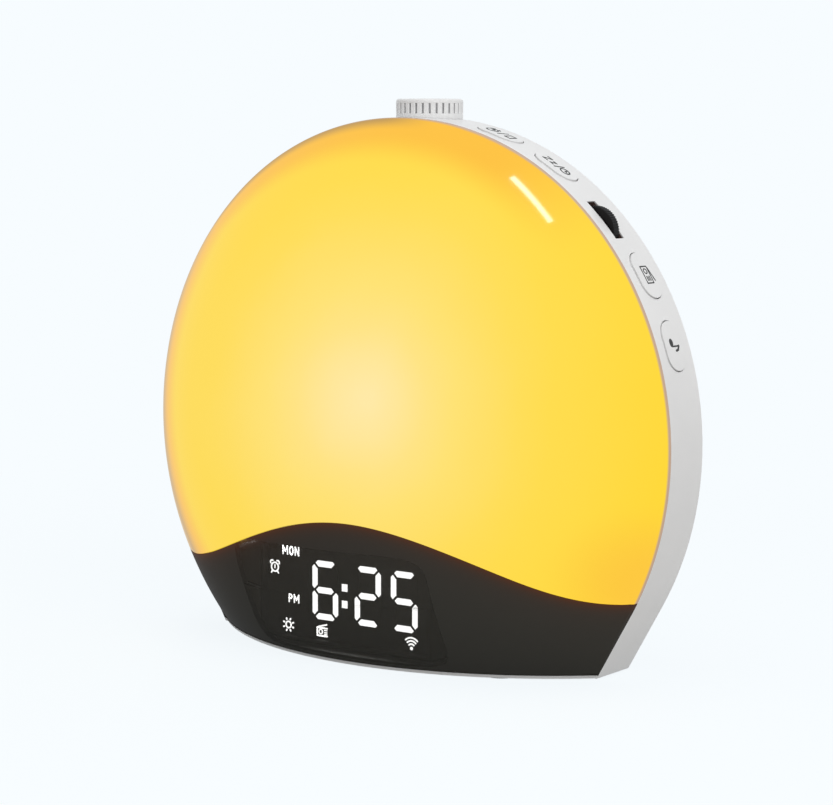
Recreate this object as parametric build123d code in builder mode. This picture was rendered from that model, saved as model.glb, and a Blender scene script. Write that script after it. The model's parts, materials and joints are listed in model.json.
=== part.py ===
from build123d import *
from math import cos, radians, sin, sqrt, tan
import os

os.makedirs("parts", exist_ok=True)

# Sunrise alarm clock. Millimetres. X is to the right, -Y is the front, +Z is up.
# The origin is on the table, under the middle of the case.

# --- Driving dimensions ------------------------------------------------------

# Case outline, seen from the front
body_radius = 90.0          # round top of the case
centre_height = 63.7        # centre of the round top above the underside
side_lean = 29.9            # degrees that the straight lower sides lean outwards
wall = 2.2                  # moulded wall of the housing and the rear cover
floor_thickness = 2.2

# Depths, front to back
dome_rise = 44.7            # front of the dome ahead of the housing's front rim
skirt_height = 2.1          # straight edge round the dome
band_depth = 16.8           # white housing band
cover_rise = 21.2           # rear cover behind the band
cover_slope = 42.0          # degrees that the rear cover's sides lean in
cover_edge = 8.0            # rounding round the flat back

# Front skins
diffuser_wall = 2.2
lens_wall = 1.8
seam_gap = 0.15             # between diffuser and lens
lip_thickness = 0.9         # housing lip under the lens
lip_reach = 0.3             # how far the lip stands out past the lens

# Wave line between the diffuser and the lens, heights above the underside
wave_crest_x = 11.0
wave_crest_height = 43.3
wave_trough_height = 22.5
wave_left_run = 87.0        # crest to the left trough
wave_right_run = 68.0       # crest to the right trough
wave_left_bend = (0.47, 0.54)   # a point on the left slope: share of its run and of its height
wave_right_bend = (0.59, 0.46)

# Running and fitting clearances
fit_gap = 0.05              # shafts in their bores
part_gap = 0.3              # pieces that pass each other
seat_gap = 0.1              # pieces that drop into a seat

# Feet
foot_height = 0.4
foot_radius = 6.0
foot_recess = 0.8
foot_inset = 25.5           # centre inside the end of the flat underside
front_foot_depth = -9.0     # centre behind the front rim
rear_foot_depth = 27.0

# Side controls: four buttons and a thumbwheel on one arc
control_angle = 45.0        # middle of the row, degrees above horizontal
control_pitch = 13.2
control_depth = 8.6         # centre line of the buttons behind the front rim
button_length = 14.0
button_width = 9.2
button_proud = 0.35
button_flange = 0.7         # overhang of the retaining flange at each end
button_flange_thickness = 1.0
button_flange_drop = 0.9    # flange below the inside of the wall
button_travel = 0.5
switch_gap = 0.15           # left under a fully pressed button
plunger_radius = 1.6
switch_size = 6.0
switch_height = 5.0
switch_nub_radius = 1.2
switch_nub_height = 0.9
switch_overhang = 1.0       # switch past the edge of its board

# Thumbwheel
wheel_angle = 43.9
wheel_radius = 7.0
wheel_width = 3.0
wheel_depth = 6.55          # middle of the wheel behind the front rim
wheel_proud = 2.1
wheel_teeth = 32
wheel_groove_radius = 0.3   # depth of a notch
wheel_pin_radius = 1.2
wheel_pin_engagement = 2.0
wheel_side_gap = 0.6        # free space beside the wheel in its slot
wheel_end_gap = 0.4
sensor_width = 9.0
sensor_length = 11.0
sensor_clear = 0.8          # sensor inside the wall

# Dial on the top
dial_radius = 9.7
dial_height = 6.4
dial_depth = 14.1           # axis behind the front rim
dial_sink = 1.0             # how far the dial sits below the top of the case
dial_travel = 0.5
dial_flutes = 30
dial_flute_depth = 0.6
dial_plain_band = 2.1       # smooth height below the flutes
dial_edge = 1.0
dial_wall = 1.6
dial_top_thickness = 1.6
dial_hub_radius = 4.8
turret_wall = 1.8
turret_floor = 2.0
turret_drop = 12.0          # turret tube below the dial's seat
shaft_radius = 3.0
encoder_size = 12.5
encoder_height = 7.0
encoder_base = 1.0
plunger_height = 1.2
bushing_wall = 0.8
nut_height = 1.0
nut_flats = 10.0

# Chassis, the white reflector between the lamp and the electronics
chassis_thickness = 1.5
chassis_depth = 0.5         # front face behind the front rim
ledge_width = 4.0
ledge_thickness = 1.2
baffle_thickness = 1.2

# Lamp
lamp_radius = 34.0
lamp_board_thickness = 1.2
lamp_lift = 15.0            # centre above the centre of the case
led_size = 3.5
led_height = 0.9
led_ring_pitch = 9.4
led_ring_counts = [5, 10, 16]

# Display
display_depth = 20.5        # face of the display ahead of the front rim
display_left = -33.0
display_right = 25.5
display_bottom = 4.6        # above the underside
display_top = 33.1
display_thickness = 6.0
display_board_thickness = 1.6
display_board_margin = 2.0
display_board_height = 25.0
shroud_wall = 1.2
shroud_reach = 2.0          # shroud ahead of the display's face
digit_height = 17.1
digit_width = 9.2
digit_centre_height = 18.85  # above the underside
digit_centres = [-11.7, 3.65, 16.5]
leading_one_x = -18.6
colon_x = -4.65
colon_height = 18.05        # middle of the colon above the underside
colon_spread = 4.8
colon_dot_width = 1.9
colon_dot_height = 2.1
segment_width = 1.75
segment_gap = 0.35
segment_proud = 0.2
segment_depth = 0.6
display_post_radius = 2.2

# Electronics
board_thickness = 1.6
main_board_depth = 22.0     # front face behind the front rim
main_board_width = 92.0
main_board_height = 46.0
main_board_bottom = 9.6     # above the underside
board_post_radius = 3.0
board_post_inset = 4.0
cell_radius = 10.0
cell_thickness = 3.2
cell_inset = 20.0           # centre inside the left end of the main board
cell_height = 34.6          # above the underside
holder_wall = 1.5
holder_base = 0.8
chip_height = 1.6
ribbon_width = 14.0
ribbon_thickness = 0.3
ribbon_height = 20.6        # above the underside
ribbon_slot = 4.0
ribbon_slot_margin = 1.0
connector_size = 3.0
side_board_depth = 12.8     # front face behind the front rim
side_board_setback = 8.5    # outer edge inside the outline
side_board_width = 19.5
side_board_margin = 8.0     # degrees of board past the outer buttons
side_boss_radius = 2.4
side_boss_inset = 3.0       # boss centre inside the board's outer edge
side_boss_height = 6.0
web_thickness = 1.6

# Speaker
speaker_radius = 22.5
speaker_height = 92.6       # centre above the underside
speaker_rim = 3.0           # width of the flange
speaker_ring = 3.0          # height of the locating ring
gasket_thickness = 0.8
speaker_flange = 0.9
basket_depth = 8.0
basket_wall = 0.8
magnet_radius = 12.5
magnet_height = 7.0
magnet_edge = 0.8
cone_throat = 6.0
cone_thickness = 0.6
cone_cap = 1.5              # rise of the dust cap
grille_hole_radius = 1.1
grille_pitch = 4.6
grille_rings = 4

# Screws
screw_radius = 1.25
screw_head_radius = 2.5
screw_head_height = 1.8
screw_length = 10.0
screw_seat = 2.4            # cover left under a screw head
boss_radius = 3.6
boss_setback = 8.0          # boss axis inside the outline
boss_angles = [2.0, 108.0, 145.0, 178.0]
corner_boss_inset = 15.5    # boss axis inside the end of the flat underside
corner_boss_height = 5.0
chassis_screw_length = 5.0
small_screw_radius = 1.0
small_head_radius = 1.9
small_head_height = 1.2
small_screw_length = 5.0

# Power inlet, a 5.5 mm barrel socket
jack_inset = 20.0           # centre inside the right end of the main board
jack_height = 14.6          # above the underside
jack_radius = 2.75
jack_pin_radius = 0.8
jack_pin_inset = 1.0        # pin below the mouth
jack_bore = 9.0
jack_width = 9.5
jack_nose_radius = 4.0
jack_nose_inset = 0.4       # nose below the outside of the cover

# --- Derived places ----------------------------------------------------------

base_z = foot_height
axis_z = base_z + centre_height
top_z = axis_z + body_radius
lean = radians(side_lean)
case_depth = dome_rise + band_depth + cover_rise
rim_y = dome_rise - case_depth / 2
back_y = rim_y + band_depth
apex_y = rim_y - dome_rise
rear_y = back_y + cover_rise
inner_rear_y = rear_y - wall
beyond = 2 * body_radius    # larger than the case, for cutting blocks
deep_floor = base_z - centre_height  # below the case, where its leaning sides still stand apart

base_half_width = body_radius * cos(lean) - (centre_height - body_radius * sin(lean)) * tan(lean)
foot_spread = base_half_width - foot_inset
corner_boss_x = base_half_width - corner_boss_inset
boss_seat_radius = body_radius - boss_setback

cap_rise = dome_rise - skirt_height
dome_sphere = (body_radius**2 + cap_rise**2) / (2 * cap_rise)
dome_centre_y = apex_y + dome_sphere
cover_inset = wall / cos(radians(cover_slope))

control_y = rim_y + control_depth
flange_outer = body_radius - wall - button_flange_drop
flange_inner = flange_outer - button_flange_thickness
side_board_y = rim_y + side_board_depth
side_board_outer = body_radius - side_board_setback
side_board_inner = side_board_outer - side_board_width
switch_top = side_board_outer + switch_overhang
nub_top = switch_top + switch_nub_height
wheel_y = rim_y + wheel_depth
wheel_back = wheel_y + wheel_width / 2
wheel_centre = body_radius + wheel_proud - wheel_radius
wheel_in_wall = body_radius - wall - wheel_centre
slot_length = 2 * (sqrt(wheel_radius**2 - wheel_in_wall**2) + wheel_end_gap)
sensor_centre = body_radius - wall - sensor_clear - sensor_length / 2

dial_y = rim_y + dial_depth
dial_bottom = top_z - dial_sink
turret_seat = dial_bottom - dial_travel - part_gap
turret_recess = dial_radius + part_gap
turret_radius = turret_recess + turret_wall
turret_top = axis_z + sqrt(body_radius**2 - turret_radius**2)
encoder_top = turret_seat - turret_floor
encoder_bottom = encoder_top - encoder_height
plunger_bottom = encoder_bottom + encoder_base + dial_travel + switch_gap
bushing_radius = shaft_radius + fit_gap + bushing_wall
nut_top = turret_seat + nut_height
hub_bottom = nut_top + dial_travel + part_gap

chassis_y = rim_y + chassis_depth
ledge_y = chassis_y + chassis_thickness
lamp_z = axis_z + lamp_lift
main_board_y = rim_y + main_board_depth
main_board_back = main_board_y + board_thickness
main_board_z = base_z + main_board_bottom + main_board_height / 2
cell_x = cell_inset - main_board_width / 2
jack_x = main_board_width / 2 - jack_inset
post_x = main_board_width / 2 - board_post_inset
post_z = main_board_height / 2 - board_post_inset

display_face_y = rim_y - display_depth
display_back_y = display_face_y + display_thickness
display_board_back = display_back_y + display_board_thickness
display_x = (display_left + display_right) / 2
display_z = base_z + (display_bottom + display_top) / 2
display_width = display_right - display_left
display_height = display_top - display_bottom
board_corner_x = display_width / 2 + display_board_margin - display_post_radius
board_corner_z = display_board_height / 2 - display_post_radius
display_board_z = base_z + display_bottom + display_board_height / 2
display_drop = baffle_thickness / 2 + part_gap + shroud_wall + seat_gap

speaker_z = base_z + speaker_height
speaker_front = inner_rear_y - gasket_thickness
jack_z = base_z + jack_height

button_steps = {"alarm_button": 2, "sleep_button": 1, "radio_button": -1, "music_button": -2}
button_angles = {name: control_angle + step * control_pitch for name, step in button_steps.items()}
side_boss_angles = [control_angle + step * control_pitch for step in (-2.5, -1.5, 1.5, 2.5)]


# --- Helpers -----------------------------------------------------------------

def facing_front(y):
    """Plane at a depth, with its normal towards the front and its own y upwards."""
    return Plane.XZ.offset(-y)


def facing_back(y):
    """Plane at a depth, with its normal towards the back and its own y upwards."""
    return Plane(origin=(0, y, 0), x_dir=(-1, 0, 0), z_dir=(0, 1, 0))


def radial_plane(angle, radius, y):
    """Plane on the round side of the case: normal outwards, its own x along the arc."""
    turn = radians(angle)
    place = (radius * cos(turn), y, axis_z + radius * sin(turn))
    return Plane(origin=place, x_dir=(-sin(turn), 0, cos(turn)), z_dir=(cos(turn), 0, sin(turn)))


def on_arc(angle, radius):
    """X and Z of a point round the centre of the case."""
    turn = radians(angle)
    return radius * cos(turn), axis_z + radius * sin(turn)


def case_section(plane, inset=0.0, floor=base_z):
    """Case outline moved in by inset: a round top on two straight leaning sides."""
    radius = body_radius - inset
    tangent_x = radius * cos(lean)
    tangent_z = axis_z - radius * sin(lean)
    foot_x = tangent_x - (tangent_z - floor) * tan(lean)
    with BuildSketch(plane) as section:
        with BuildLine():
            ThreePointArc((tangent_x, tangent_z), (0, axis_z + radius), (-tangent_x, tangent_z))
            Line((-tangent_x, tangent_z), (-foot_x, floor))
            Line((-foot_x, floor), (foot_x, floor))
            Line((foot_x, floor), (tangent_x, tangent_z))
        make_face()
    return section.sketch


def front_form(sphere_radius, inset, floor, back):
    """Solid between the front sphere, the inset case outline and the plane y = back."""
    with BuildPart() as form:
        extrude(case_section(facing_front(back), inset, floor), amount=beyond)
        with Locations((0, dome_centre_y, axis_z)):
            Sphere(sphere_radius, mode=Mode.INTERSECT)
    return form.part


def cover_form(inset, depth, edge):
    """Solid of the rear cover: the outline leans in to a flat back with a rounded edge."""
    with BuildPart() as form:
        extrude(case_section(facing_back(back_y), inset, deep_floor), amount=depth, taper=cover_slope)
        fillet(form.faces().sort_by(Axis.Y)[-1].edges(), edge)
    return form.part


def level_block(low, high):
    """Flat block between two heights, wider than the case."""
    with BuildPart() as block:
        with BuildSketch(Plane.XY.offset(low)):
            Rectangle(2 * beyond, 2 * beyond)
        extrude(amount=high - low)
    return block.part


def wave_side(above, lift=0.0):
    """Deep block that ends at the wave line, on the side above it or below it."""
    left = wave_crest_x - wave_left_run
    right = wave_crest_x + wave_right_run
    crest = base_z + wave_crest_height + lift
    trough = base_z + wave_trough_height + lift
    fall = crest - trough
    left_slope = (wave_crest_x - wave_left_bend[0] * wave_left_run, trough + wave_left_bend[1] * fall)
    right_slope = (wave_crest_x + wave_right_bend[0] * wave_right_run, trough + wave_right_bend[1] * fall)
    far = beyond if above else -beyond
    with BuildSketch(facing_front(rear_y)) as section:
        with BuildLine():
            Line((-beyond, trough), (left, trough))
            Spline((left, trough), left_slope, (wave_crest_x, crest), tangents=[(1, 0), (1, 0)])
            Spline((wave_crest_x, crest), right_slope, (right, trough), tangents=[(1, 0), (1, 0)])
            Polyline((right, trough), (beyond, trough), (beyond, far), (-beyond, far), (-beyond, trough))
        make_face()
    with BuildPart() as block:
        extrude(section.sketch, amount=beyond)
    return block.part


def bar(x, z, radius, front, back):
    """Round bar along Y between two depths."""
    with BuildPart() as rod:
        with BuildSketch(facing_front(back)):
            with Locations((x, z)):
                Circle(radius)
        extrude(amount=back - front)
    return rod.part


def block_at(x, z, width, height, front, back):
    """Rectangular block between two depths, centred on x and z."""
    with BuildPart() as block:
        with BuildSketch(facing_front(back)):
            with Locations((x, z)):
                Rectangle(width, height)
        extrude(amount=back - front)
    return block.part


def display_block(grow, front, back):
    """Outline of the display, grown on all sides, with its top kept below the wave."""
    with BuildPart() as block:
        add(
            block_at(
                display_x, display_z, display_width + 2 * grow, display_height + 2 * grow, front, back
            )
        )
        add(wave_side(above=False, lift=grow - display_drop), mode=Mode.INTERSECT)
    return block.part


def post(radius, low, high):
    """Round post along Z on the dial's axis."""
    with BuildPart() as rod:
        with BuildSketch(Plane.XY.offset(low)):
            with Locations((0, dial_y)):
                Circle(radius)
        extrude(amount=high - low)
    return rod.part


def wall_web(angle, radius, front, back):
    """Web that ties a boss at this radius to the inside of the band."""
    with BuildPart() as web:
        with BuildSketch(radial_plane(angle, radius, (front + back) / 2)):
            Rectangle(web_thickness, back - front)
        extrude(amount=body_radius - wall / 2 - radius)
    return web.part


def screw_at(x, z, shank_radius, head_radius, head_height, length, seat, direction):
    """Pan head screw along Y; its head lies on the plane y = seat, its shank leaves along direction."""
    head = sorted([seat, seat - direction * head_height])
    shank = sorted([seat - direction * head_height / 2, seat + direction * length])
    with BuildPart() as screw:
        add(bar(x, z, head_radius, head[0], head[1]))
        add(bar(x, z, shank_radius, shank[0], shank[1]))
    return screw.part


ring_bosses = [on_arc(angle, boss_seat_radius) for angle in boss_angles]
corner_bosses = [(side * corner_boss_x, base_z + corner_boss_height) for side in (-1, 1)]
case_bosses = ring_bosses + corner_bosses
side_bosses = [on_arc(angle, side_board_outer - side_boss_inset) for angle in side_boss_angles]
board_posts = [(x, main_board_z + z) for x in (-post_x, post_x) for z in (-post_z, post_z)]
display_posts = [
    (display_x + x, display_board_z + z)
    for x in (-board_corner_x, board_corner_x)
    for z in (-board_corner_z, board_corner_z)
]


# --- Front skins -------------------------------------------------------------

dome_outer = front_form(dome_sphere, 0, base_z, rim_y)

# Opal diffuser: the glowing upper part of the dome
with BuildPart() as diffuser_dome:
    add(dome_outer)
    add(
        front_form(dome_sphere - diffuser_wall, diffuser_wall, deep_floor, back_y),
        mode=Mode.SUBTRACT,
    )
    add(wave_side(above=True, lift=seam_gap), mode=Mode.INTERSECT)
diffuser_dome.part.label = "diffuser_dome"
export_step(diffuser_dome.part, "parts/diffuser_dome.step")

# Smoked lens over the display, below the wave
with BuildPart() as display_lens:
    add(dome_outer)
    add(
        front_form(dome_sphere - lens_wall, lens_wall, deep_floor, back_y),
        mode=Mode.SUBTRACT,
    )
    add(wave_side(above=False), mode=Mode.INTERSECT)
    add(level_block(-beyond, base_z + lip_thickness), mode=Mode.SUBTRACT)
display_lens.part.label = "display_lens"
export_step(display_lens.part, "parts/display_lens.step")


# --- Housing band ------------------------------------------------------------

# Lip under the lens
with BuildPart() as lens_lip:
    extrude(case_section(facing_front(rim_y)), amount=dome_rise)
    with Locations((0, dome_centre_y - lip_reach, axis_z)):
        Sphere(dome_sphere, mode=Mode.INTERSECT)
    add(level_block(base_z + lip_thickness, beyond), mode=Mode.SUBTRACT)

# Thicker floor inside the lens
with BuildPart() as front_floor:
    add(front_form(dome_sphere - lens_wall - seam_gap, lens_wall + seam_gap, base_z, rim_y))
    add(level_block(base_z + floor_thickness, beyond), mode=Mode.SUBTRACT)

with BuildPart() as mid_housing:
    # Ledge that the chassis rests on
    extrude(case_section(facing_back(ledge_y), wall / 2), amount=ledge_thickness)
    extrude(
        case_section(facing_back(ledge_y), wall + ledge_width, base_z + floor_thickness + ledge_width),
        amount=ledge_thickness,
        mode=Mode.SUBTRACT,
    )
    # Band with its floor
    with BuildSketch(facing_back(rim_y)):
        add(case_section(Plane.XY))
        add(case_section(Plane.XY, wall, base_z + floor_thickness), mode=Mode.SUBTRACT)
    extrude(amount=band_depth)
    add(lens_lip.part)
    add(front_floor.part)
    # Case bosses, and bosses for the board behind the buttons
    for boss_x, boss_z in case_bosses:
        add(bar(boss_x, boss_z, boss_radius, ledge_y, back_y))
    for angle in boss_angles:
        add(wall_web(angle, boss_seat_radius, ledge_y, back_y))
    for boss_x, boss_z in side_bosses:
        add(bar(boss_x, boss_z, side_boss_radius, side_board_y - side_boss_height, side_board_y))
    for angle in side_boss_angles:
        web_start = side_board_outer - side_boss_inset
        add(wall_web(angle, web_start, side_board_y - side_boss_height, side_board_y))
    # Turret under the dial, with its seat, tube and shaft hole
    add(post(turret_radius, turret_seat - turret_drop, turret_top))
    add(post(turret_recess, turret_seat, top_z + wall), mode=Mode.SUBTRACT)
    add(
        post(turret_radius - turret_wall, turret_seat - turret_drop, encoder_top),
        mode=Mode.SUBTRACT,
    )
    add(post(bushing_radius + seat_gap, encoder_top, turret_seat), mode=Mode.SUBTRACT)
    # Button openings
    for angle in button_angles.values():
        with BuildSketch(radial_plane(angle, body_radius - 2 * wall, control_y)):
            SlotOverall(button_length + 2 * part_gap, button_width + 2 * part_gap)
        extrude(amount=3 * wall, mode=Mode.SUBTRACT)
    # Slot for the thumbwheel
    with BuildSketch(radial_plane(wheel_angle, wheel_centre, wheel_y)):
        Rectangle(slot_length, wheel_width + 2 * wheel_side_gap)
    extrude(amount=body_radius - wheel_centre + wall, mode=Mode.SUBTRACT)
    # Pilot holes for the screws
    for boss_x, boss_z in case_bosses:
        add(bar(boss_x, boss_z, screw_radius, ledge_y, back_y), mode=Mode.SUBTRACT)
    for boss_x, boss_z in side_bosses:
        pilot_front = side_board_y - small_screw_length
        add(bar(boss_x, boss_z, small_screw_radius, pilot_front, side_board_y), mode=Mode.SUBTRACT)
    # Recesses for the front feet
    with BuildSketch(Plane.XY.offset(base_z)):
        with Locations((-foot_spread, rim_y + front_foot_depth), (foot_spread, rim_y + front_foot_depth)):
            Circle(foot_radius + seat_gap)
    extrude(amount=foot_recess, mode=Mode.SUBTRACT)
mid_housing.part.label = "mid_housing"
export_step(mid_housing.part, "parts/mid_housing.step")


# --- Rear cover --------------------------------------------------------------

cover_outer = cover_form(0, cover_rise, cover_edge)

# Bosses, posts and the speaker's ring, before they are trimmed to the cover
with BuildPart() as cover_ribs:
    for boss_x, boss_z in case_bosses:
        add(bar(boss_x, boss_z, boss_radius, back_y, rear_y))
    for boss_x, boss_z in board_posts:
        add(bar(boss_x, boss_z, board_post_radius, main_board_back, rear_y))
    with BuildSketch(facing_front(rear_y)):
        with Locations((0, speaker_z)):
            Circle(speaker_radius + part_gap + web_thickness)
            Circle(speaker_radius + part_gap, mode=Mode.SUBTRACT)
    extrude(amount=wall + speaker_ring)

with BuildPart() as rear_cover:
    add(cover_outer)
    add(cover_form(cover_inset, cover_rise - wall, cover_edge - wall), mode=Mode.SUBTRACT)
    # Floor of the cover
    with BuildSketch(facing_back(back_y)):
        with Locations((0, base_z + floor_thickness / 2)):
            Rectangle(2 * body_radius, floor_thickness)
    extrude(amount=cover_rise)
    add(cover_ribs.part)
    add(cover_outer, mode=Mode.INTERSECT)
    add(level_block(-beyond, base_z), mode=Mode.SUBTRACT)
    # Clearance for the dial's turret
    add(post(turret_radius + seat_gap, axis_z, top_z + wall), mode=Mode.SUBTRACT)
    # Screw holes with their wells
    for boss_x, boss_z in case_bosses:
        add(bar(boss_x, boss_z, screw_radius + seat_gap, back_y, rear_y), mode=Mode.SUBTRACT)
        well_floor = back_y + screw_seat
        well_radius = screw_head_radius + part_gap
        add(bar(boss_x, boss_z, well_radius, well_floor, rear_y), mode=Mode.SUBTRACT)
    for boss_x, boss_z in board_posts:
        pilot_back = main_board_back + small_screw_length
        add(bar(boss_x, boss_z, small_screw_radius, main_board_back, pilot_back), mode=Mode.SUBTRACT)
    # Speaker grille of six-sided holes
    with BuildSketch(facing_front(rear_y)):
        with Locations((0, speaker_z)):
            RegularPolygon(grille_hole_radius, 6)
            for ring in range(1, grille_rings + 1):
                with PolarLocations(ring * grille_pitch, 6 * ring):
                    RegularPolygon(grille_hole_radius, 6)
    extrude(amount=wall, mode=Mode.SUBTRACT)
    # Hole for the nose of the power inlet
    add(bar(jack_x, jack_z, jack_nose_radius + seat_gap, inner_rear_y, rear_y), mode=Mode.SUBTRACT)
    # Recesses for the rear feet
    with BuildSketch(Plane.XY.offset(base_z)):
        with Locations((-foot_spread, rim_y + rear_foot_depth), (foot_spread, rim_y + rear_foot_depth)):
            Circle(foot_radius + seat_gap)
    extrude(amount=foot_recess, mode=Mode.SUBTRACT)
rear_cover.part.label = "rear_cover"
export_step(rear_cover.part, "parts/rear_cover.step")

with BuildPart() as rubber_feet:
    with BuildSketch(Plane.XY):
        for depth in (front_foot_depth, rear_foot_depth):
            with Locations((-foot_spread, rim_y + depth), (foot_spread, rim_y + depth)):
                Circle(foot_radius)
    extrude(amount=foot_height + foot_recess)
    chamfer(rubber_feet.edges().group_by(Axis.Z)[0], 0.3)
rubber_feet.part.label = "rubber_feet"
export_step(rubber_feet.part, "parts/rubber_feet.step")

with BuildPart() as case_screws:
    for boss_x, boss_z in case_bosses:
        seat = back_y + screw_seat
        add(
            screw_at(
                boss_x, boss_z, screw_radius, screw_head_radius, screw_head_height, screw_length, seat, -1
            )
        )
case_screws.part.label = "case_screws"
export_step(case_screws.part, "parts/case_screws.step")


# --- Chassis and lamp --------------------------------------------------------

# Wall along the wave that keeps the lamp's light off the display
with BuildPart() as baffle:
    inset = diffuser_wall + part_gap
    add(front_form(dome_sphere - inset, inset, base_z, chassis_y))
    add(wave_side(above=True, lift=-baffle_thickness / 2), mode=Mode.INTERSECT)
    add(wave_side(above=False, lift=baffle_thickness / 2), mode=Mode.INTERSECT)

with BuildPart() as light_chassis:
    extrude(
        case_section(facing_front(ledge_y), wall + seat_gap, base_z + floor_thickness + seat_gap),
        amount=chassis_thickness,
    )
    add(baffle.part)
    for boss_x, boss_z in display_posts:
        add(bar(boss_x, boss_z, display_post_radius, display_board_back, ledge_y))
    # Slot for the ribbon
    slot_width = ribbon_width + 2 * ribbon_slot_margin
    slot = block_at(0, base_z + ribbon_height, slot_width, ribbon_slot, chassis_y, ledge_y)
    add(slot, mode=Mode.SUBTRACT)
    for boss_x, boss_z in ring_bosses:
        add(bar(boss_x, boss_z, screw_radius + seat_gap, chassis_y, ledge_y), mode=Mode.SUBTRACT)
light_chassis.part.label = "light_chassis"
export_step(light_chassis.part, "parts/light_chassis.step")

with BuildPart() as chassis_screws:
    for boss_x, boss_z in ring_bosses:
        add(
            screw_at(
                boss_x, boss_z, screw_radius, small_head_radius, small_head_height,
                chassis_screw_length, chassis_y, 1,
            )
        )
chassis_screws.part.label = "chassis_screws"
export_step(chassis_screws.part, "parts/chassis_screws.step")

lamp_face = chassis_y - lamp_board_thickness
with BuildPart() as lamp_board:
    add(bar(0, lamp_z, lamp_radius, lamp_face, chassis_y))
lamp_board.part.label = "lamp_board"
export_step(lamp_board.part, "parts/lamp_board.step")

with BuildPart() as lamp_leds:
    with BuildSketch(facing_front(lamp_face)):
        with Locations((0, lamp_z)):
            for ring, count in enumerate(led_ring_counts, start=1):
                with PolarLocations(ring * led_ring_pitch, count):
                    Rectangle(led_size, led_size)
    extrude(amount=led_height)
lamp_leds.part.label = "lamp_leds"
export_step(lamp_leds.part, "parts/lamp_leds.step")


# --- Display -----------------------------------------------------------------

# Seven segments of a digit, in the usual letters from the top clockwise, g in the middle:
# direction from the digit's centre in half widths and half heights, and whether it lies flat
segment_places = {
    "a": (0, 1, True),
    "b": (1, 0.5, False),
    "c": (1, -0.5, False),
    "d": (0, -1, True),
    "e": (-1, -0.5, False),
    "f": (-1, 0.5, False),
    "g": (0, 0, True),
}
shown_digits = ["acdefg", "abdeg", "acdfg"]  # 6, 2 and 5


def segment(x, z, letter):
    """Bar of one segment with pointed ends, for the digit centred on x and z."""
    across, up, flat = segment_places[letter]
    half_width = (digit_width - segment_width) / 2
    half_height = (digit_height - segment_width) / 2
    length = (2 * half_width if flat else half_height) - segment_gap
    tip = length / 2
    shoulder = tip - segment_width / 2
    side = segment_width / 2
    place = Location((x + across * half_width, z + up * half_height), 0 if flat else 90)
    with BuildPart() as piece:
        with BuildSketch(facing_front(display_face_y + segment_depth)):
            with Locations(place):
                Polygon((-tip, 0), (-shoulder, side), (shoulder, side), (tip, 0), (shoulder, -side), (-shoulder, -side))
        extrude(amount=segment_depth + segment_proud)
    return piece.part


digit_z = base_z + digit_centre_height
lit_places = [(x, letter) for x, shown in zip(digit_centres, shown_digits) for letter in shown]
dark_places = [
    (x, letter)
    for x, shown in zip(digit_centres, shown_digits)
    for letter in segment_places
    if letter not in shown
]
one_centre = leading_one_x - (digit_width - segment_width) / 2
dark_places += [(one_centre, "b"), (one_centre, "c")]

with BuildPart() as lit_segments:
    for digit_x, letter in lit_places:
        add(segment(digit_x, digit_z, letter))
    for side in (-1, 1):
        dot_z = base_z + colon_height + side * colon_spread / 2
        dot_front = display_face_y - segment_proud
        dot_back = display_face_y + segment_depth
        add(block_at(colon_x, dot_z, colon_dot_width, colon_dot_height, dot_front, dot_back))
lit_segments.part.label = "lit_segments"
export_step(lit_segments.part, "parts/lit_segments.step")

with BuildPart() as dark_segments:
    for digit_x, letter in dark_places:
        add(segment(digit_x, digit_z, letter))
dark_segments.part.label = "dark_segments"
export_step(dark_segments.part, "parts/dark_segments.step")

with BuildPart() as digit_module:
    add(display_block(0, display_face_y, display_back_y))
    add(lit_segments.part, mode=Mode.SUBTRACT)
    add(dark_segments.part, mode=Mode.SUBTRACT)
digit_module.part.label = "digit_module"
export_step(digit_module.part, "parts/digit_module.step")

with BuildPart() as display_board:
    board_width = display_width + 2 * display_board_margin
    add(
        block_at(
            display_x, display_board_z, board_width, display_board_height,
            display_back_y, display_board_back,
        )
    )
display_board.part.label = "display_board"
export_step(display_board.part, "parts/display_board.step")

# Light shield round the module, trimmed to the inside of the lens
with BuildPart() as display_shroud:
    inset = lens_wall + part_gap
    add(front_form(dome_sphere - inset, inset, base_z + floor_thickness, display_back_y))
    shroud_front = display_face_y - shroud_reach
    add(display_block(seat_gap + shroud_wall, shroud_front, display_back_y), mode=Mode.INTERSECT)
    add(display_block(seat_gap, apex_y, display_back_y), mode=Mode.SUBTRACT)
display_shroud.part.label = "display_shroud"
export_step(display_shroud.part, "parts/display_shroud.step")

with BuildPart() as display_ribbon:
    ribbon_z = base_z + ribbon_height
    add(block_at(0, ribbon_z, ribbon_width, ribbon_thickness, display_board_back, main_board_y))
    for front, back in (
        (display_board_back, display_board_back + connector_size),
        (main_board_y - connector_size, main_board_y),
    ):
        add(block_at(0, ribbon_z, ribbon_width, connector_size, front, back))
display_ribbon.part.label = "display_ribbon"
export_step(display_ribbon.part, "parts/display_ribbon.step")


# --- Main board --------------------------------------------------------------

with BuildPart() as main_board:
    add(block_at(0, main_board_z, main_board_width, main_board_height, main_board_y, main_board_back))
    for boss_x, boss_z in board_posts:
        hole = small_screw_radius + seat_gap
        add(bar(boss_x, boss_z, hole, main_board_y, main_board_back), mode=Mode.SUBTRACT)
main_board.part.label = "main_board"
export_step(main_board.part, "parts/main_board.step")

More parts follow.
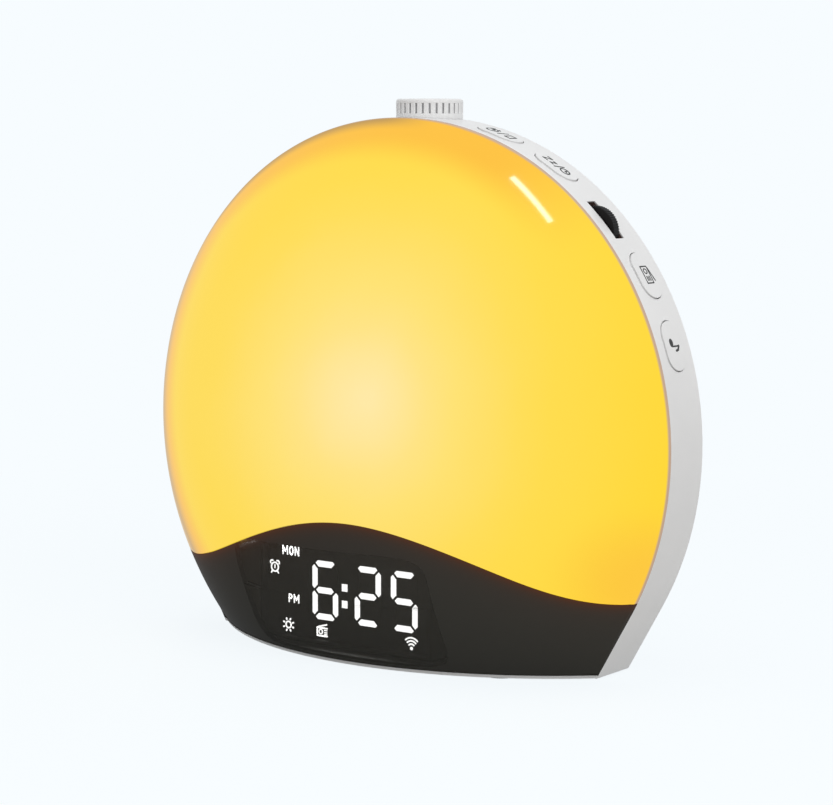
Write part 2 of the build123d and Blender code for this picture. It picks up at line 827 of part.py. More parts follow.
# Chips and other parts on the main board: x, height above the underside, width, height
chip_places = [(6.0, 34.6, 12.0, 12.0), (26.0, 38.6, 8.0, 10.0), (26.0, 22.6, 10.0, 6.0), (-8.0, 46.6, 14.0, 5.0)]
with BuildPart() as board_chips:
    for chip_x, chip_z, chip_width, chip_length in chip_places:
        front = main_board_y - chip_height
        add(block_at(chip_x, base_z + chip_z, chip_width, chip_length, front, main_board_y))
board_chips.part.label = "board_chips"
export_step(board_chips.part, "parts/board_chips.step")

cell_z = base_z + cell_height
holder_front = main_board_y - holder_base - cell_thickness
with BuildPart() as cell_holder:
    add(bar(cell_x, cell_z, cell_radius + seat_gap + holder_wall, holder_front, main_board_y))
    cell_seat = main_board_y - holder_base
    add(bar(cell_x, cell_z, cell_radius + seat_gap, holder_front, cell_seat), mode=Mode.SUBTRACT)
cell_holder.part.label = "cell_holder"
export_step(cell_holder.part, "parts/cell_holder.step")

with BuildPart() as backup_cell:
    add(bar(cell_x, cell_z, cell_radius, holder_front, cell_seat))
    chamfer(backup_cell.edges().group_by(Axis.Y)[0], 0.5)
backup_cell.part.label = "backup_cell"
export_step(backup_cell.part, "parts/backup_cell.step")

with BuildPart() as board_screws:
    for boss_x, boss_z in board_posts:
        add(
            screw_at(
                boss_x, boss_z, small_screw_radius, small_head_radius, small_head_height,
                small_screw_length, main_board_y, 1,
            )
        )
board_screws.part.label = "board_screws"
export_step(board_screws.part, "parts/board_screws.step")

# Barrel socket between the main board and the rear wall, its nose in the cover's hole
with BuildPart() as power_inlet:
    nose_end = rear_y - jack_nose_inset
    add(block_at(jack_x, jack_z, jack_width, jack_width, main_board_back, inner_rear_y))
    add(bar(jack_x, jack_z, jack_nose_radius, inner_rear_y, nose_end))
    add(bar(jack_x, jack_z, jack_radius, nose_end - jack_bore, nose_end), mode=Mode.SUBTRACT)
    add(bar(jack_x, jack_z, jack_pin_radius, nose_end - jack_bore, nose_end - jack_pin_inset))
power_inlet.part.label = "power_inlet"
export_step(power_inlet.part, "parts/power_inlet.step")


# --- Speaker -----------------------------------------------------------------

flange_front = speaker_front - speaker_flange
basket_back = flange_front - basket_depth
opening_radius = speaker_radius - speaker_rim

with BuildPart() as speaker_gasket:
    with BuildSketch(facing_front(inner_rear_y)):
        with Locations((0, speaker_z)):
            Circle(speaker_radius)
            Circle(opening_radius, mode=Mode.SUBTRACT)
    extrude(amount=gasket_thickness)
speaker_gasket.part.label = "speaker_gasket"
export_step(speaker_gasket.part, "parts/speaker_gasket.step")

# Pressed frame: flange, tapered basket and flat back
with BuildPart() as speaker_frame:
    with BuildSketch(Plane.YZ) as frame_profile:
        with BuildLine():
            Polyline(
                (speaker_front, opening_radius),
                (speaker_front, speaker_radius),
                (flange_front, speaker_radius),
                (flange_front, opening_radius + basket_wall),
                (basket_back, magnet_radius + basket_wall),
                (basket_back, 0),
                (basket_back + basket_wall, 0),
                (basket_back + basket_wall, magnet_radius),
                (flange_front, opening_radius),
                close=True,
            )
        make_face()
    revolve(axis=Axis.Y)
speaker_frame.part = speaker_frame.part.moved(Location((0, 0, speaker_z)))
speaker_frame.part.label = "speaker_frame"
export_step(speaker_frame.part, "parts/speaker_frame.step")

with BuildPart() as speaker_magnet:
    add(bar(0, speaker_z, magnet_radius, basket_back - magnet_height, basket_back))
    chamfer(speaker_magnet.edges().group_by(Axis.Y)[0], magnet_edge)
speaker_magnet.part.label = "speaker_magnet"
export_step(speaker_magnet.part, "parts/speaker_magnet.step")

# Paper cone with its dust cap
with BuildPart() as speaker_cone:
    with BuildSketch(Plane.YZ):
        with BuildLine():
            throat_y = speaker_front - cone_throat
            rim_radius = opening_radius - part_gap
            Polyline(
                (speaker_front, rim_radius),
                (speaker_front - cone_thickness, rim_radius),
                (throat_y - cone_thickness, cone_throat),
                (throat_y - cone_thickness, 0),
                (throat_y + cone_cap, 0),
                (throat_y, cone_throat),
                close=True,
            )
        make_face()
    revolve(axis=Axis.Y)
speaker_cone.part = speaker_cone.part.moved(Location((0, 0, speaker_z)))
speaker_cone.part.label = "speaker_cone"
export_step(speaker_cone.part, "parts/speaker_cone.step")


# --- Side controls -----------------------------------------------------------

with BuildPart() as side_board:
    half_span = 2 * control_pitch + side_board_margin
    with BuildSketch(facing_back(side_board_y)):
        with BuildLine():
            start, end = control_angle - half_span, control_angle + half_span
            corners = [
                (-on_arc(angle, radius)[0], on_arc(angle, radius)[1])
                for radius in (side_board_inner, side_board_outer)
                for angle in (start, control_angle, end)
            ]
            ThreePointArc(corners[0], corners[1], corners[2])
            Line(corners[2], corners[5])
            ThreePointArc(corners[5], corners[4], corners[3])
            Line(corners[3], corners[0])
        make_face()
    extrude(amount=board_thickness)
    for boss_x, boss_z in side_bosses:
        hole = small_screw_radius + seat_gap
        board_back = side_board_y + board_thickness
        add(bar(boss_x, boss_z, hole, side_board_y, board_back), mode=Mode.SUBTRACT)
side_board.part.label = "side_board"
export_step(side_board.part, "parts/side_board.step")

with BuildPart() as side_board_screws:
    for boss_x, boss_z in side_bosses:
        seat = side_board_y + board_thickness
        length = small_screw_length + board_thickness - seat_gap
        add(
            screw_at(
                boss_x, boss_z, small_screw_radius, small_head_radius, small_head_height, length, seat, -1
            )
        )
side_board_screws.part.label = "side_board_screws"
export_step(side_board_screws.part, "parts/side_board_screws.step")

# Side-push switches on the front of the side board, one behind each button
with BuildPart() as side_switches:
    for angle in button_angles.values():
        with BuildSketch(radial_plane(angle, switch_top - switch_height, side_board_y - switch_size / 2)):
            Rectangle(switch_size, switch_size)
        extrude(amount=switch_height)
        with BuildSketch(radial_plane(angle, switch_top, control_y)):
            Circle(switch_nub_radius)
        extrude(amount=switch_nub_height)
side_switches.part.label = "side_switches"
export_step(side_switches.part, "parts/side_switches.step")

for name, angle in button_angles.items():
    with BuildPart() as button:
        # Pill-shaped cap, trimmed to the curve of the case
        with BuildSketch(radial_plane(angle, flange_inner, control_y)):
            SlotOverall(button_length, button_width)
        extrude(amount=body_radius - flange_inner + wall)
        with Locations(Location((0, control_y, axis_z), (90, 0, 0))):
            Cylinder(body_radius + button_proud, 2 * button_width, mode=Mode.INTERSECT)
        # Flange that keeps it in
        with BuildSketch(radial_plane(angle, flange_inner, control_y)):
            Rectangle(button_length + 2 * button_flange, button_width)
        extrude(amount=button_flange_thickness)
        # Plunger towards the switch
        plunger_end = nub_top + button_travel + switch_gap
        with BuildSketch(radial_plane(angle, plunger_end, control_y)):
            Circle(plunger_radius)
        extrude(amount=flange_inner - plunger_end)
    button.part.label = name
    export_step(button.part, f"parts/{name}.step")

wheel_x, wheel_z = on_arc(wheel_angle, wheel_centre)

with BuildPart() as thumbwheel:
    with BuildSketch(facing_front(wheel_back)):
        with Locations((wheel_x, wheel_z)):
            Circle(wheel_radius)
            Circle(wheel_pin_radius, mode=Mode.SUBTRACT)
            with PolarLocations(wheel_radius, wheel_teeth):
                RegularPolygon(wheel_groove_radius, 4, mode=Mode.SUBTRACT)
    extrude(amount=wheel_width)
thumbwheel.part.label = "thumbwheel"
export_step(thumbwheel.part, "parts/thumbwheel.step")

sensor_front = wheel_back + part_gap
with BuildPart() as wheel_pin:
    pin_end = sensor_front + wheel_pin_engagement
    add(bar(wheel_x, wheel_z, wheel_pin_radius, wheel_back - wheel_width, pin_end))
wheel_pin.part.label = "wheel_pin"
export_step(wheel_pin.part, "parts/wheel_pin.step")

with BuildPart() as wheel_sensor:
    with BuildSketch(facing_front(side_board_y)):
        with Locations(Location(on_arc(wheel_angle, sensor_centre), wheel_angle)):
            Rectangle(sensor_length, sensor_width)
    extrude(amount=side_board_y - sensor_front)
    bore_back = sensor_front + wheel_pin_engagement + part_gap
    add(bar(wheel_x, wheel_z, wheel_pin_radius + fit_gap, sensor_front, bore_back), mode=Mode.SUBTRACT)
wheel_sensor.part.label = "wheel_sensor"
export_step(wheel_sensor.part, "parts/wheel_sensor.step")


# --- Dial --------------------------------------------------------------------

with BuildPart() as encoder_body:
    with BuildSketch(Plane.XY.offset(encoder_bottom)):
        with Locations((0, dial_y)):
            Rectangle(encoder_size, encoder_size)
    extrude(amount=encoder_height)
    add(post(bushing_radius, encoder_top, nut_top))
    bore_bottom = encoder_bottom + encoder_base
    add(post(shaft_radius + fit_gap, bore_bottom, nut_top), mode=Mode.SUBTRACT)
encoder_body.part.label = "encoder_body"
export_step(encoder_body.part, "parts/encoder_body.step")

with BuildPart() as encoder_nut:
    with BuildSketch(Plane.XY.offset(turret_seat)):
        with Locations((0, dial_y)):
            RegularPolygon(nut_flats / 2, 6, major_radius=False)
            Circle(bushing_radius + fit_gap, mode=Mode.SUBTRACT)
    extrude(amount=nut_height)
encoder_nut.part.label = "encoder_nut"
export_step(encoder_nut.part, "parts/encoder_nut.step")

plunger_top = plunger_bottom + plunger_height
with BuildPart() as encoder_plunger:
    add(post(shaft_radius, plunger_bottom, plunger_top))
encoder_plunger.part.label = "encoder_plunger"
export_step(encoder_plunger.part, "parts/encoder_plunger.step")

dial_top = dial_bottom + dial_height
cavity_top = dial_top - dial_top_thickness
with BuildPart() as encoder_shaft:
    add(post(shaft_radius, plunger_top, cavity_top))
encoder_shaft.part.label = "encoder_shaft"
export_step(encoder_shaft.part, "parts/encoder_shaft.step")

with BuildPart() as dial:
    add(post(dial_radius, dial_bottom, dial_top))
    fillet(dial.edges().group_by(Axis.Z)[-1], dial_edge)
    # Vertical flutes between a plain band and the rounded edge
    with BuildSketch(Plane.XY.offset(dial_bottom + dial_plain_band)):
        with Locations((0, dial_y)):
            with PolarLocations(dial_radius, dial_flutes):
                RegularPolygon(dial_flute_depth, 4)
    extrude(amount=dial_height - dial_plain_band - dial_edge, mode=Mode.SUBTRACT)
    # Hollow underside with a hub for the shaft
    add(post(dial_radius - dial_wall, dial_bottom, cavity_top), mode=Mode.SUBTRACT)
    add(post(dial_hub_radius, hub_bottom, cavity_top))
    add(post(shaft_radius, hub_bottom, cavity_top), mode=Mode.SUBTRACT)
dial.part.label = "dial"
export_step(dial.part, "parts/dial.step")
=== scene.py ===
# Finishes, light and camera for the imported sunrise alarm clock.
import json
from math import asin, cos, degrees, exp, hypot, pi, radians, sin, sqrt

import bmesh
import bpy
from mathutils import Matrix, Vector


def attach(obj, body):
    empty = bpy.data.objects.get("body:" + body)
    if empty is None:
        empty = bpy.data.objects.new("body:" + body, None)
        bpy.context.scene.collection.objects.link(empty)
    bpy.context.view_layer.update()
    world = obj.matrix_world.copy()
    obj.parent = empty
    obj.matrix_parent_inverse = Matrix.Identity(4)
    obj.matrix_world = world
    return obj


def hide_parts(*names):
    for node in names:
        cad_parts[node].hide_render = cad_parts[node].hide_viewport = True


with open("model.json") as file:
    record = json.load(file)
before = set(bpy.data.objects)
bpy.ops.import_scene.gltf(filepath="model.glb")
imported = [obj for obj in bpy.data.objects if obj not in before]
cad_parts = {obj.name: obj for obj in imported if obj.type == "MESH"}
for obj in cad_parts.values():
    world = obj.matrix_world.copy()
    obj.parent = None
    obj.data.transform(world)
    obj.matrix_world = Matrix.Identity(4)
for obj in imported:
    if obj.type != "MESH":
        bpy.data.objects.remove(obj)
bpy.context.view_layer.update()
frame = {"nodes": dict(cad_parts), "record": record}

mm = 0.001

# --- Sizes of the clock, in millimetres -------------------

case_radius = 90.0
axis_z = 64.1          # centre of the round top
lean_degrees = 29.9    # how far the straight lower sides lean outwards
lean = radians(lean_degrees)
rim_y = 3.35           # front rim of the housing
apex_y = -41.35        # frontmost point of the dome
dome_sphere = 116.37
dome_y = apex_y + dome_sphere
skin_edge = 0.5        # rounding round the skirt
cut_edge = 0.2         # rounding along the seam
just_inside = 0.999    # brings a point of the outline inside it

diffuser_wall = 2.2
lens_wall = 1.8
seam = 0.15
lens_floor = 1.3       # lower edge of the lens
lens_floor_half_width = 64.0
diffuser_centre = (8.0, 88.0)

# Middle of the lamp's light on the diffuser, and the diffuser's lower right corner
lamp_centre = (20.8, 78.4)
diffuser_corner = (87.0, 27.0)

# Clear window in the black print behind the lens
window_x = 0.2
window_z = 18.9
window_half_width = 34.0
window_half_height = 16.6
window_limit = 0.95    # share of the way to the edge that the window may reach
window_cover = 0.62    # share of what is behind that one skin of the window covers

wave_crest = (11.0, 43.7)
wave_troughs = (-76.0, 79.0)
wave_trough_z = 22.9
wave_left = (-29.89, 34.132)    # a point on each slope
wave_right = (51.12, 32.468)

dial_y = 17.45
dial_radius = 9.7
dial_bottom = 153.1
dial_top = 159.5

control_y = 11.95
button_angles = {"alarm_button": 71.4, "sleep_button": 58.2, "radio_button": 31.8, "music_button": 18.6}
button_face = 90.35
symbol_scales = {"alarm_button": 1.55, "sleep_button": 1.45, "radio_button": 1.35, "music_button": 1.4}
wheel_angle = 43.9
wheel_y = 9.9
wheel_centre = 85.1    # from the axis of the case to the wheel's own axis
wheel_radius = 6.86

display_face_y = -17.15
display_line = 0.45
alarm_place = (-30.4, 24.2)
brightness_place = (-25.4, 7.7)
radio_place = (-12.9, 7.3)
signal_place = (19.0, 6.3)
day_place = (-27.3, 28.4)
half_day_place = (-25.1, 14.5)
letter_widths = {"M": 1.65, "O": 1.2, "N": 1.25, "P": 1.05}
letter_gap = 0.85
digit_centres = (-11.7, 3.65, 16.5)
digit_z = 19.25
digit_half_width = 3.725
digit_half_height = 7.675
segment_gap = 0.7
stroke_length = 0.9    # longest straight piece of a printed line


# --- Shapes -----------------------------------------------

def added(name, data):
    """A new object of the scene that holds this mesh, lamp or camera."""
    thing = bpy.data.objects.new(name, data)
    bpy.context.scene.collection.objects.link(thing)
    return thing


def mesh_piece(name, points, faces):
    """Closed piece from points in millimetres, smooth except at its sharp edges."""
    mesh = bpy.data.meshes.new(name)
    bm = bmesh.new()
    corners = [bm.verts.new([part * mm for part in point]) for point in points]
    for face in faces:
        ring = [corners[i] for i in face]
        if len(set(ring)) == len(ring):
            bm.faces.new(ring)
    bmesh.ops.remove_doubles(bm, verts=bm.verts, dist=0.00001)
    bmesh.ops.dissolve_degenerate(bm, edges=bm.edges, dist=0.000001)
    if bm.calc_volume(signed=True) < 0:
        bmesh.ops.reverse_faces(bm, faces=bm.faces)
    bm.to_mesh(mesh)
    bm.free()
    mesh.shade_smooth()
    mesh.set_sharp_from_angle(angle=radians(35))
    return added(name, mesh)


def sphere_y(x, z, sphere):
    """Depth of the front sphere over a point of the front view."""
    return min(dome_y - sqrt(max(sphere * sphere - x * x - (z - axis_z) ** 2, 0.0)), rim_y)


def outward_at(x, z):
    """Outward direction of the case outline nearest to a point."""
    reach = hypot(x, z - axis_z)
    if z - axis_z > -reach * sin(lean):
        return x / reach, (z - axis_z) / reach
    side = 1 if x > 0 else -1
    return side * cos(lean), -sin(lean)


def outline_x(z, inset=0.0):
    """Half width of the case outline, moved in by inset, at a height."""
    radius = case_radius - inset
    if z > axis_z - radius * sin(lean):
        return sqrt(radius * radius - (z - axis_z) ** 2)
    return (radius + (z - axis_z) * sin(lean)) / cos(lean)


def spline_through(points, count):
    """Points on a smooth curve through three points that is level at both ends."""
    first, middle, last = [Vector(point) for point in points]
    before = (middle - first).length
    after = (last - middle).length
    level = Vector((1.0, 0.0))
    pull = 3 * ((middle - first) / before**2 + (last - middle) / after**2) - level / before - level / after
    slope = pull / (2 / before + 2 / after)
    run = []
    for start, end, leave, arrive, length in (
        (first, middle, level, slope, before),
        (middle, last, slope, level, after),
    ):
        for step in range(count):
            t = step / count
            run.append(
                (2 * t**3 - 3 * t**2 + 1) * start
                + (t**3 - 2 * t**2 + t) * length * leave
                + (3 * t**2 - 2 * t**3) * end
                + (t**3 - t**2) * length * arrive
            )
    return run


def wave_run(lift, count=60):
    """The wave line from its left trough to its right trough."""
    left = spline_through([(wave_troughs[0], wave_trough_z), wave_left, wave_crest], count)
    right = spline_through([wave_crest, wave_right, (wave_troughs[1], wave_trough_z)], count)
    run = left + right + [Vector((wave_troughs[1], wave_trough_z))]
    return [(point.x, point.y + lift) for point in run]


def cut_run(run, wall):
    """Edge places along a cut through the front skin, from the left outline to the right one."""
    margin = 0.2    # between the run's points and the inside of the skirt
    ends = []
    for side, z in ((-1, run[0][1]), (1, run[-1][1])):
        inner = side * outline_x(z, wall)
        lap = [(side * outline_x(z, inset), z, inner, z, "lap") for inset in (0, wall / 2, wall)]
        ends.append(lap + [(inner, z, inner, z, "cut")])
    between = [(x, z, x, z, "cut") for x, z in run if abs(x) < outline_x(z, wall) - margin]
    return ends[0] + between + ends[1][::-1]


def rim_run(start, end, wall, count):
    """Edge places along the round outline between two directions, given in degrees."""
    places = []
    for step in range(count + 1):
        turn = radians(start + (end - start) * step / count)
        reach = case_radius
        if sin(turn) < -sin(lean):
            reach /= abs(cos(turn)) * cos(lean) - sin(turn) * sin(lean)
        x = reach * cos(turn)
        z = axis_z + reach * sin(turn)
        out_x, out_z = outward_at(x * just_inside, axis_z + (z - axis_z) * just_inside)
        places.append((x, z, x - wall * out_x, z - wall * out_z, "rim"))
    return places


def side_run(low, high, wall, side):
    """Edge places up one straight lower side."""
    count = 12
    places = []
    for step in range(count + 1):
        z = low + (high - low) * step / count
        x = side * outline_x(z)
        out_x, out_z = outward_at(x * just_inside, z)
        places.append((x, z, x - wall * out_x, max(z - wall * out_z, low), "rim"))
    return places


def edge_profile(place, wall, inward):
    """Points over the edge of the front skin at one place, from its outside to its inside."""
    x, z, inner_x, inner_z, kind = place
    outside = sphere_y(x, z, dome_sphere)
    inside = sphere_y(inner_x, inner_z, dome_sphere - wall)
    if kind == "rim":
        size = skin_edge
        start_x = x + (inner_x - x) / wall * size
        start_z = z + (inner_z - z) / wall * size
    else:
        size = cut_edge
        start_x = x
        start_z = z + size * inward
    start = Vector((start_x, sphere_y(start_x, start_z, dome_sphere), start_z))
    corner = Vector((x, outside, z))
    end = Vector((x, min(outside + size, rim_y), z))
    points = []
    for step in range(5):
        t = step / 4
        points.append((1 - t) ** 2 * start + 2 * t * (1 - t) * corner + t * t * end)
    if kind == "cut":
        points += [Vector((x, inside, z))] * 3
    else:
        points.append(Vector((x, rim_y, z)))
        points += [Vector((inner_x, depth, inner_z)) for depth in (rim_y, inside)]
    return points


def direction(x, z):
    """Angle from the X axis to a vector of the front view."""
    return Vector((x, z)).angle_signed(Vector((1, 0)))


def window_reach(turn):
    """Distance from the middle of the clear window to its edge, in this direction."""
    across = abs(cos(turn)) / window_half_width
    up = abs(sin(turn)) / window_half_height
    return (across**8 + up**8) ** (-1 / 8)


def ring_faces(columns, length):
    """Faces between neighbouring columns of this many points, where the last column meets the first."""
    faces = []
    for i in range(columns):
        here = i * length
        following = (i + 1) % columns * length
        for step in range(length - 1):
            faces.append((here + step, following + step, following + step + 1, here + step + 1))
    return faces


def skin_line(middle, last, sphere, rings, window_rings):
    """Points on a front sphere from the middle towards an edge place, one of them on the window's edge."""
    flat = Vector((last.x, 0, last.z)) - middle
    clear = 0.0
    if window_rings:
        clear = min(window_reach(direction(flat.x, flat.z)) / flat.length, window_limit)
    points = []
    for ring in range(rings):
        if ring < window_rings:
            share = clear * ring / window_rings
        else:
            share = clear + (1 - clear) * (ring - window_rings) / (rings - window_rings)
        spot = middle + flat * share
        points.append(Vector((spot.x, sphere_y(spot.x, spot.z, sphere), spot.z)))
    return points


def front_skin(name, places, centre, wall, rings, window_rings=0):
    """Closed shell of the domed front over the region inside these edge places."""
    middle = Vector((centre[0], 0, centre[1]))
    columns = []
    for place in places:
        inward = 1 if centre[1] > place[1] else -1
        edge = edge_profile(place, wall, inward)
        outside = skin_line(middle, edge[0], dome_sphere, rings, window_rings)
        inside = skin_line(middle, edge[-1], dome_sphere - wall, rings, window_rings)
        columns.append(outside + edge + inside[::-1])
    points = [point for column in columns for point in column]
    return mesh_piece(name, points, ring_faces(len(columns), len(columns[0])))


def lathe(name, profile, steps, place):
    """Closed round piece from (radius, height) points, turned about its own Z."""
    points = []
    for step in range(steps):
        turn = 2 * pi * step / steps
        for radius, height in profile:
            points.append(place @ Vector((radius * cos(turn), radius * sin(turn), height)))
    return mesh_piece(name, points, ring_faces(steps, len(profile)))


def rounded(corner_before, corner, corner_after, radius, count):
    """Points round one corner of a profile."""
    here = Vector(corner)
    before = (Vector(corner_before) - here).normalized() * radius
    after = (Vector(corner_after) - here).normalized() * radius
    points = []
    for step in range(count + 1):
        t = step / count
        point = here + (1 - t) ** 2 * before + t * t * after
        points.append((point.x, point.y))
    return points


def join_into(piece, other):
    """Adds the other piece's mesh to this piece and removes the other."""
    bm = bmesh.new()
    bm.from_mesh(piece.data)
    bm.from_mesh(other.data)
    bm.to_mesh(piece.data)
    bm.free()
    bpy.data.objects.remove(other)


def stroke(points, width):
    """Outline of a line of this width through the points, with round ends."""
    left = []
    right = []
    half = width / 2
    path = [Vector(point) for point in points]
    for i, point in enumerate(path):
        before = path[max(i - 1, 0)]
        after = path[min(i + 1, len(path) - 1)]
        along = (after - before).normalized()
        across = Vector((-along.y, along.x))
        left.append(point + across * half)
        right.append(point - across * half)
    caps = []
    for tip, neighbour in ((path[-1], path[-2]), (path[0], path[1])):
        outward = (tip - neighbour).normalized() * half
        turns = [Matrix.Rotation(-radians(turn), 2) for turn in (-60, -30, 0, 30, 60)]
        caps.append([tip + turn @ outward for turn in turns])
    loop = left + caps[0] + list(reversed(right)) + caps[1]
    return [(point.x, point.y) for point in loop]


def lines(points, width):
    """Outlines of the straight lines that join the points, in short pieces with round ends."""
    outlines = []
    for start, end in zip(points, points[1:]):
        start, end = Vector(start), Vector(end)
        pieces = max(round((end - start).length / stroke_length), 1)
        for step in range(pieces):
            ends = [start.lerp(end, place / pieces) for place in (step, step + 1)]
            outlines.append(stroke(ends, width))
    return outlines


def arc(x, z, radius, start, end, count):
    """Points on an arc, directions in degrees."""
    turns = [radians(start + (end - start) * step / count) for step in range(count + 1)]
    return [(x + radius * cos(turn), z + radius * sin(turn)) for turn in turns]


def plates(name, outlines, low, high, bend):
    """One piece made of thin plates with these outlines, each point where bend puts it."""
    points = []
    faces = []
    for outline in outlines:
        count = len(outline)
        under = range(len(points), len(points) + count)
        over = range(len(points) + count, len(points) + 2 * count)
        points += [bend(x, z, level) for level in (low, high) for x, z in outline]
        faces += [tuple(over), tuple(reversed(under))]
        for i in range(count):
            j = (i + 1) % count
            faces.append((under[i], under[j], over[j], over[i]))
    mesh = bpy.data.meshes.new(name)
    mesh.from_pydata([[part * mm for part in point] for point in points], [], faces)
    bm = bmesh.new()
    bm.from_mesh(mesh)
    bmesh.ops.recalc_face_normals(bm, faces=bm.faces)
    bm.to_mesh(mesh)
    bm.free()
    return added(name, mesh)


# --- Repeated shapes, made with Geometry Nodes ------------

def add_node(tree, kind, settings=None, **sockets):
    """A node of the tree, its sockets given values or outputs. Underscores stand for spaces."""
    node = tree.nodes.new(kind)
    for key, value in (settings or {}).items():
        setattr(node, key, value)
    for key, value in sockets.items():
        socket = node.inputs[int(key[1:])] if key[1:].isdigit() else node.inputs[key.replace("_", " ")]
        if isinstance(value, bpy.types.NodeSocket):
            tree.links.new(value, socket)
        else:
            socket.default_value = value
    return node


class Tree:
    """A Geometry Nodes tree with named inputs."""

    def __init__(self, name, inputs):
        self.tree = bpy.data.node_groups.new(name, "GeometryNodeTree")
        self.tree.interface.new_socket("Geometry", in_out="OUTPUT", socket_type="NodeSocketGeometry")
        self.identifiers = {}
        for label, kind in inputs.items():
            socket = self.tree.interface.new_socket(label, in_out="INPUT", socket_type="NodeSocket" + kind)
            self.identifiers[label] = socket.identifier
        self.given = self.tree.nodes.new("NodeGroupInput").outputs
        self.result = self.tree.nodes.new("NodeGroupOutput").inputs["Geometry"]

    def add(self, kind, settings=None, **sockets):
        """First output of a new node."""
        return add_node(self.tree, kind, settings, **sockets).outputs[0]

    def link(self, output, socket):
        self.tree.links.new(output, socket)

    def piece(self, name, **values):
        """A plain mesh piece made by the tree with these inputs."""
        holder = added(name, bpy.data.meshes.new(name))
        maker = holder.modifiers.new("maker", "NODES")
        maker.node_group = self.tree
        for key, value in values.items():
            maker[self.identifiers[key.replace("_", " ")]] = value
        bpy.context.view_layer.update()
        evaluated = holder.evaluated_get(bpy.context.evaluated_depsgraph_get())
        mesh = bpy.data.meshes.new_from_object(evaluated)
        bpy.data.objects.remove(holder)
        return added(name, mesh)


def rib_ring_tree():
    """Upright ribs with rounded edges, spaced evenly round the Z axis."""
    lengths = ("Ring radius", "Rib width", "Rib depth", "Rib height", "Edge radius")
    ribs = Tree("ring_of_ribs", {"Ribs": "Int", **dict.fromkeys(lengths, "Float"), "Material": "Material"})
    given = ribs.given
    section = ribs.add(
        "GeometryNodeCurvePrimitiveQuadrilateral", Width=given["Rib depth"], Height=given["Rib width"],
    )
    soft = ribs.add(
        "GeometryNodeFilletCurve", {"mode": "POLY"},
        Curve=section, Count=4, Radius=given["Edge radius"],
    )
    face = ribs.add("GeometryNodeFillCurve", {"mode": "NGONS"}, Curve=soft)
    rise = ribs.add("ShaderNodeCombineXYZ", Z=given["Rib height"])
    up = ribs.add("GeometryNodeExtrudeMesh", {"mode": "FACES"}, Mesh=face, Offset=rise, Individual=False)
    foot = ribs.add("GeometryNodeFlipFaces", Mesh=face)
    both = add_node(ribs.tree, "GeometryNodeJoinGeometry")
    for part in (foot, up):
        ribs.link(part, both.inputs[0])
    rib = ribs.add("GeometryNodeMergeByDistance", Geometry=both.outputs[0], Distance=0.000001)
    ring = ribs.add("GeometryNodeMeshCircle", Vertices=given["Ribs"], Radius=given["Ring radius"])
    index = ribs.add("GeometryNodeInputIndex")
    step = ribs.add("ShaderNodeMath", {"operation": "DIVIDE"}, _0=2 * pi, _1=given["Ribs"])
    turn = ribs.add("ShaderNodeMath", {"operation": "MULTIPLY"}, _0=index, _1=step)
    facing = ribs.add("ShaderNodeCombineXYZ", Z=turn)
    copies = ribs.add("GeometryNodeInstanceOnPoints", Points=ring, Instance=rib, Rotation=facing)
    solid = ribs.add("GeometryNodeRealizeInstances", Geometry=copies)
    ribs.link(ribs.add("GeometryNodeSetMaterial", Geometry=solid, Material=given["Material"]), ribs.result)
    return ribs


def soft_edges_tree():
    """Joins loose triangles and shades them smooth, except across sharp edges."""
    soft = Tree("soft_edges", {"Solid": "Geometry"})
    merged = soft.add("GeometryNodeMergeByDistance", Geometry=soft.given["Solid"], Distance=0.000001)
    smooth = soft.add("GeometryNodeSetShadeSmooth", {"domain": "FACE"}, Geometry=merged, Shade_Smooth=True)
    angle = soft.add("GeometryNodeInputMeshEdgeAngle")
    sharp = soft.add(
        "FunctionNodeCompare", {"data_type": "FLOAT", "operation": "GREATER_THAN"},
        A=angle, B=radians(28),
    )
    crisp = soft.add(
        "GeometryNodeSetShadeSmooth", {"domain": "EDGE"},
        Geometry=smooth, Selection=sharp, Shade_Smooth=False,
    )
    soft.link(crisp, soft.result)
    return soft.tree


# --- Finishes ---------------------------------------------

def linear(*levels):
    """A colour given as screen levels from 0 to 255."""
    shares = [level / 255 for level in levels]
    return [share / 12.92 if share <= 0.04045 else ((share + 0.055) / 1.055) ** 2.4 for share in shares]


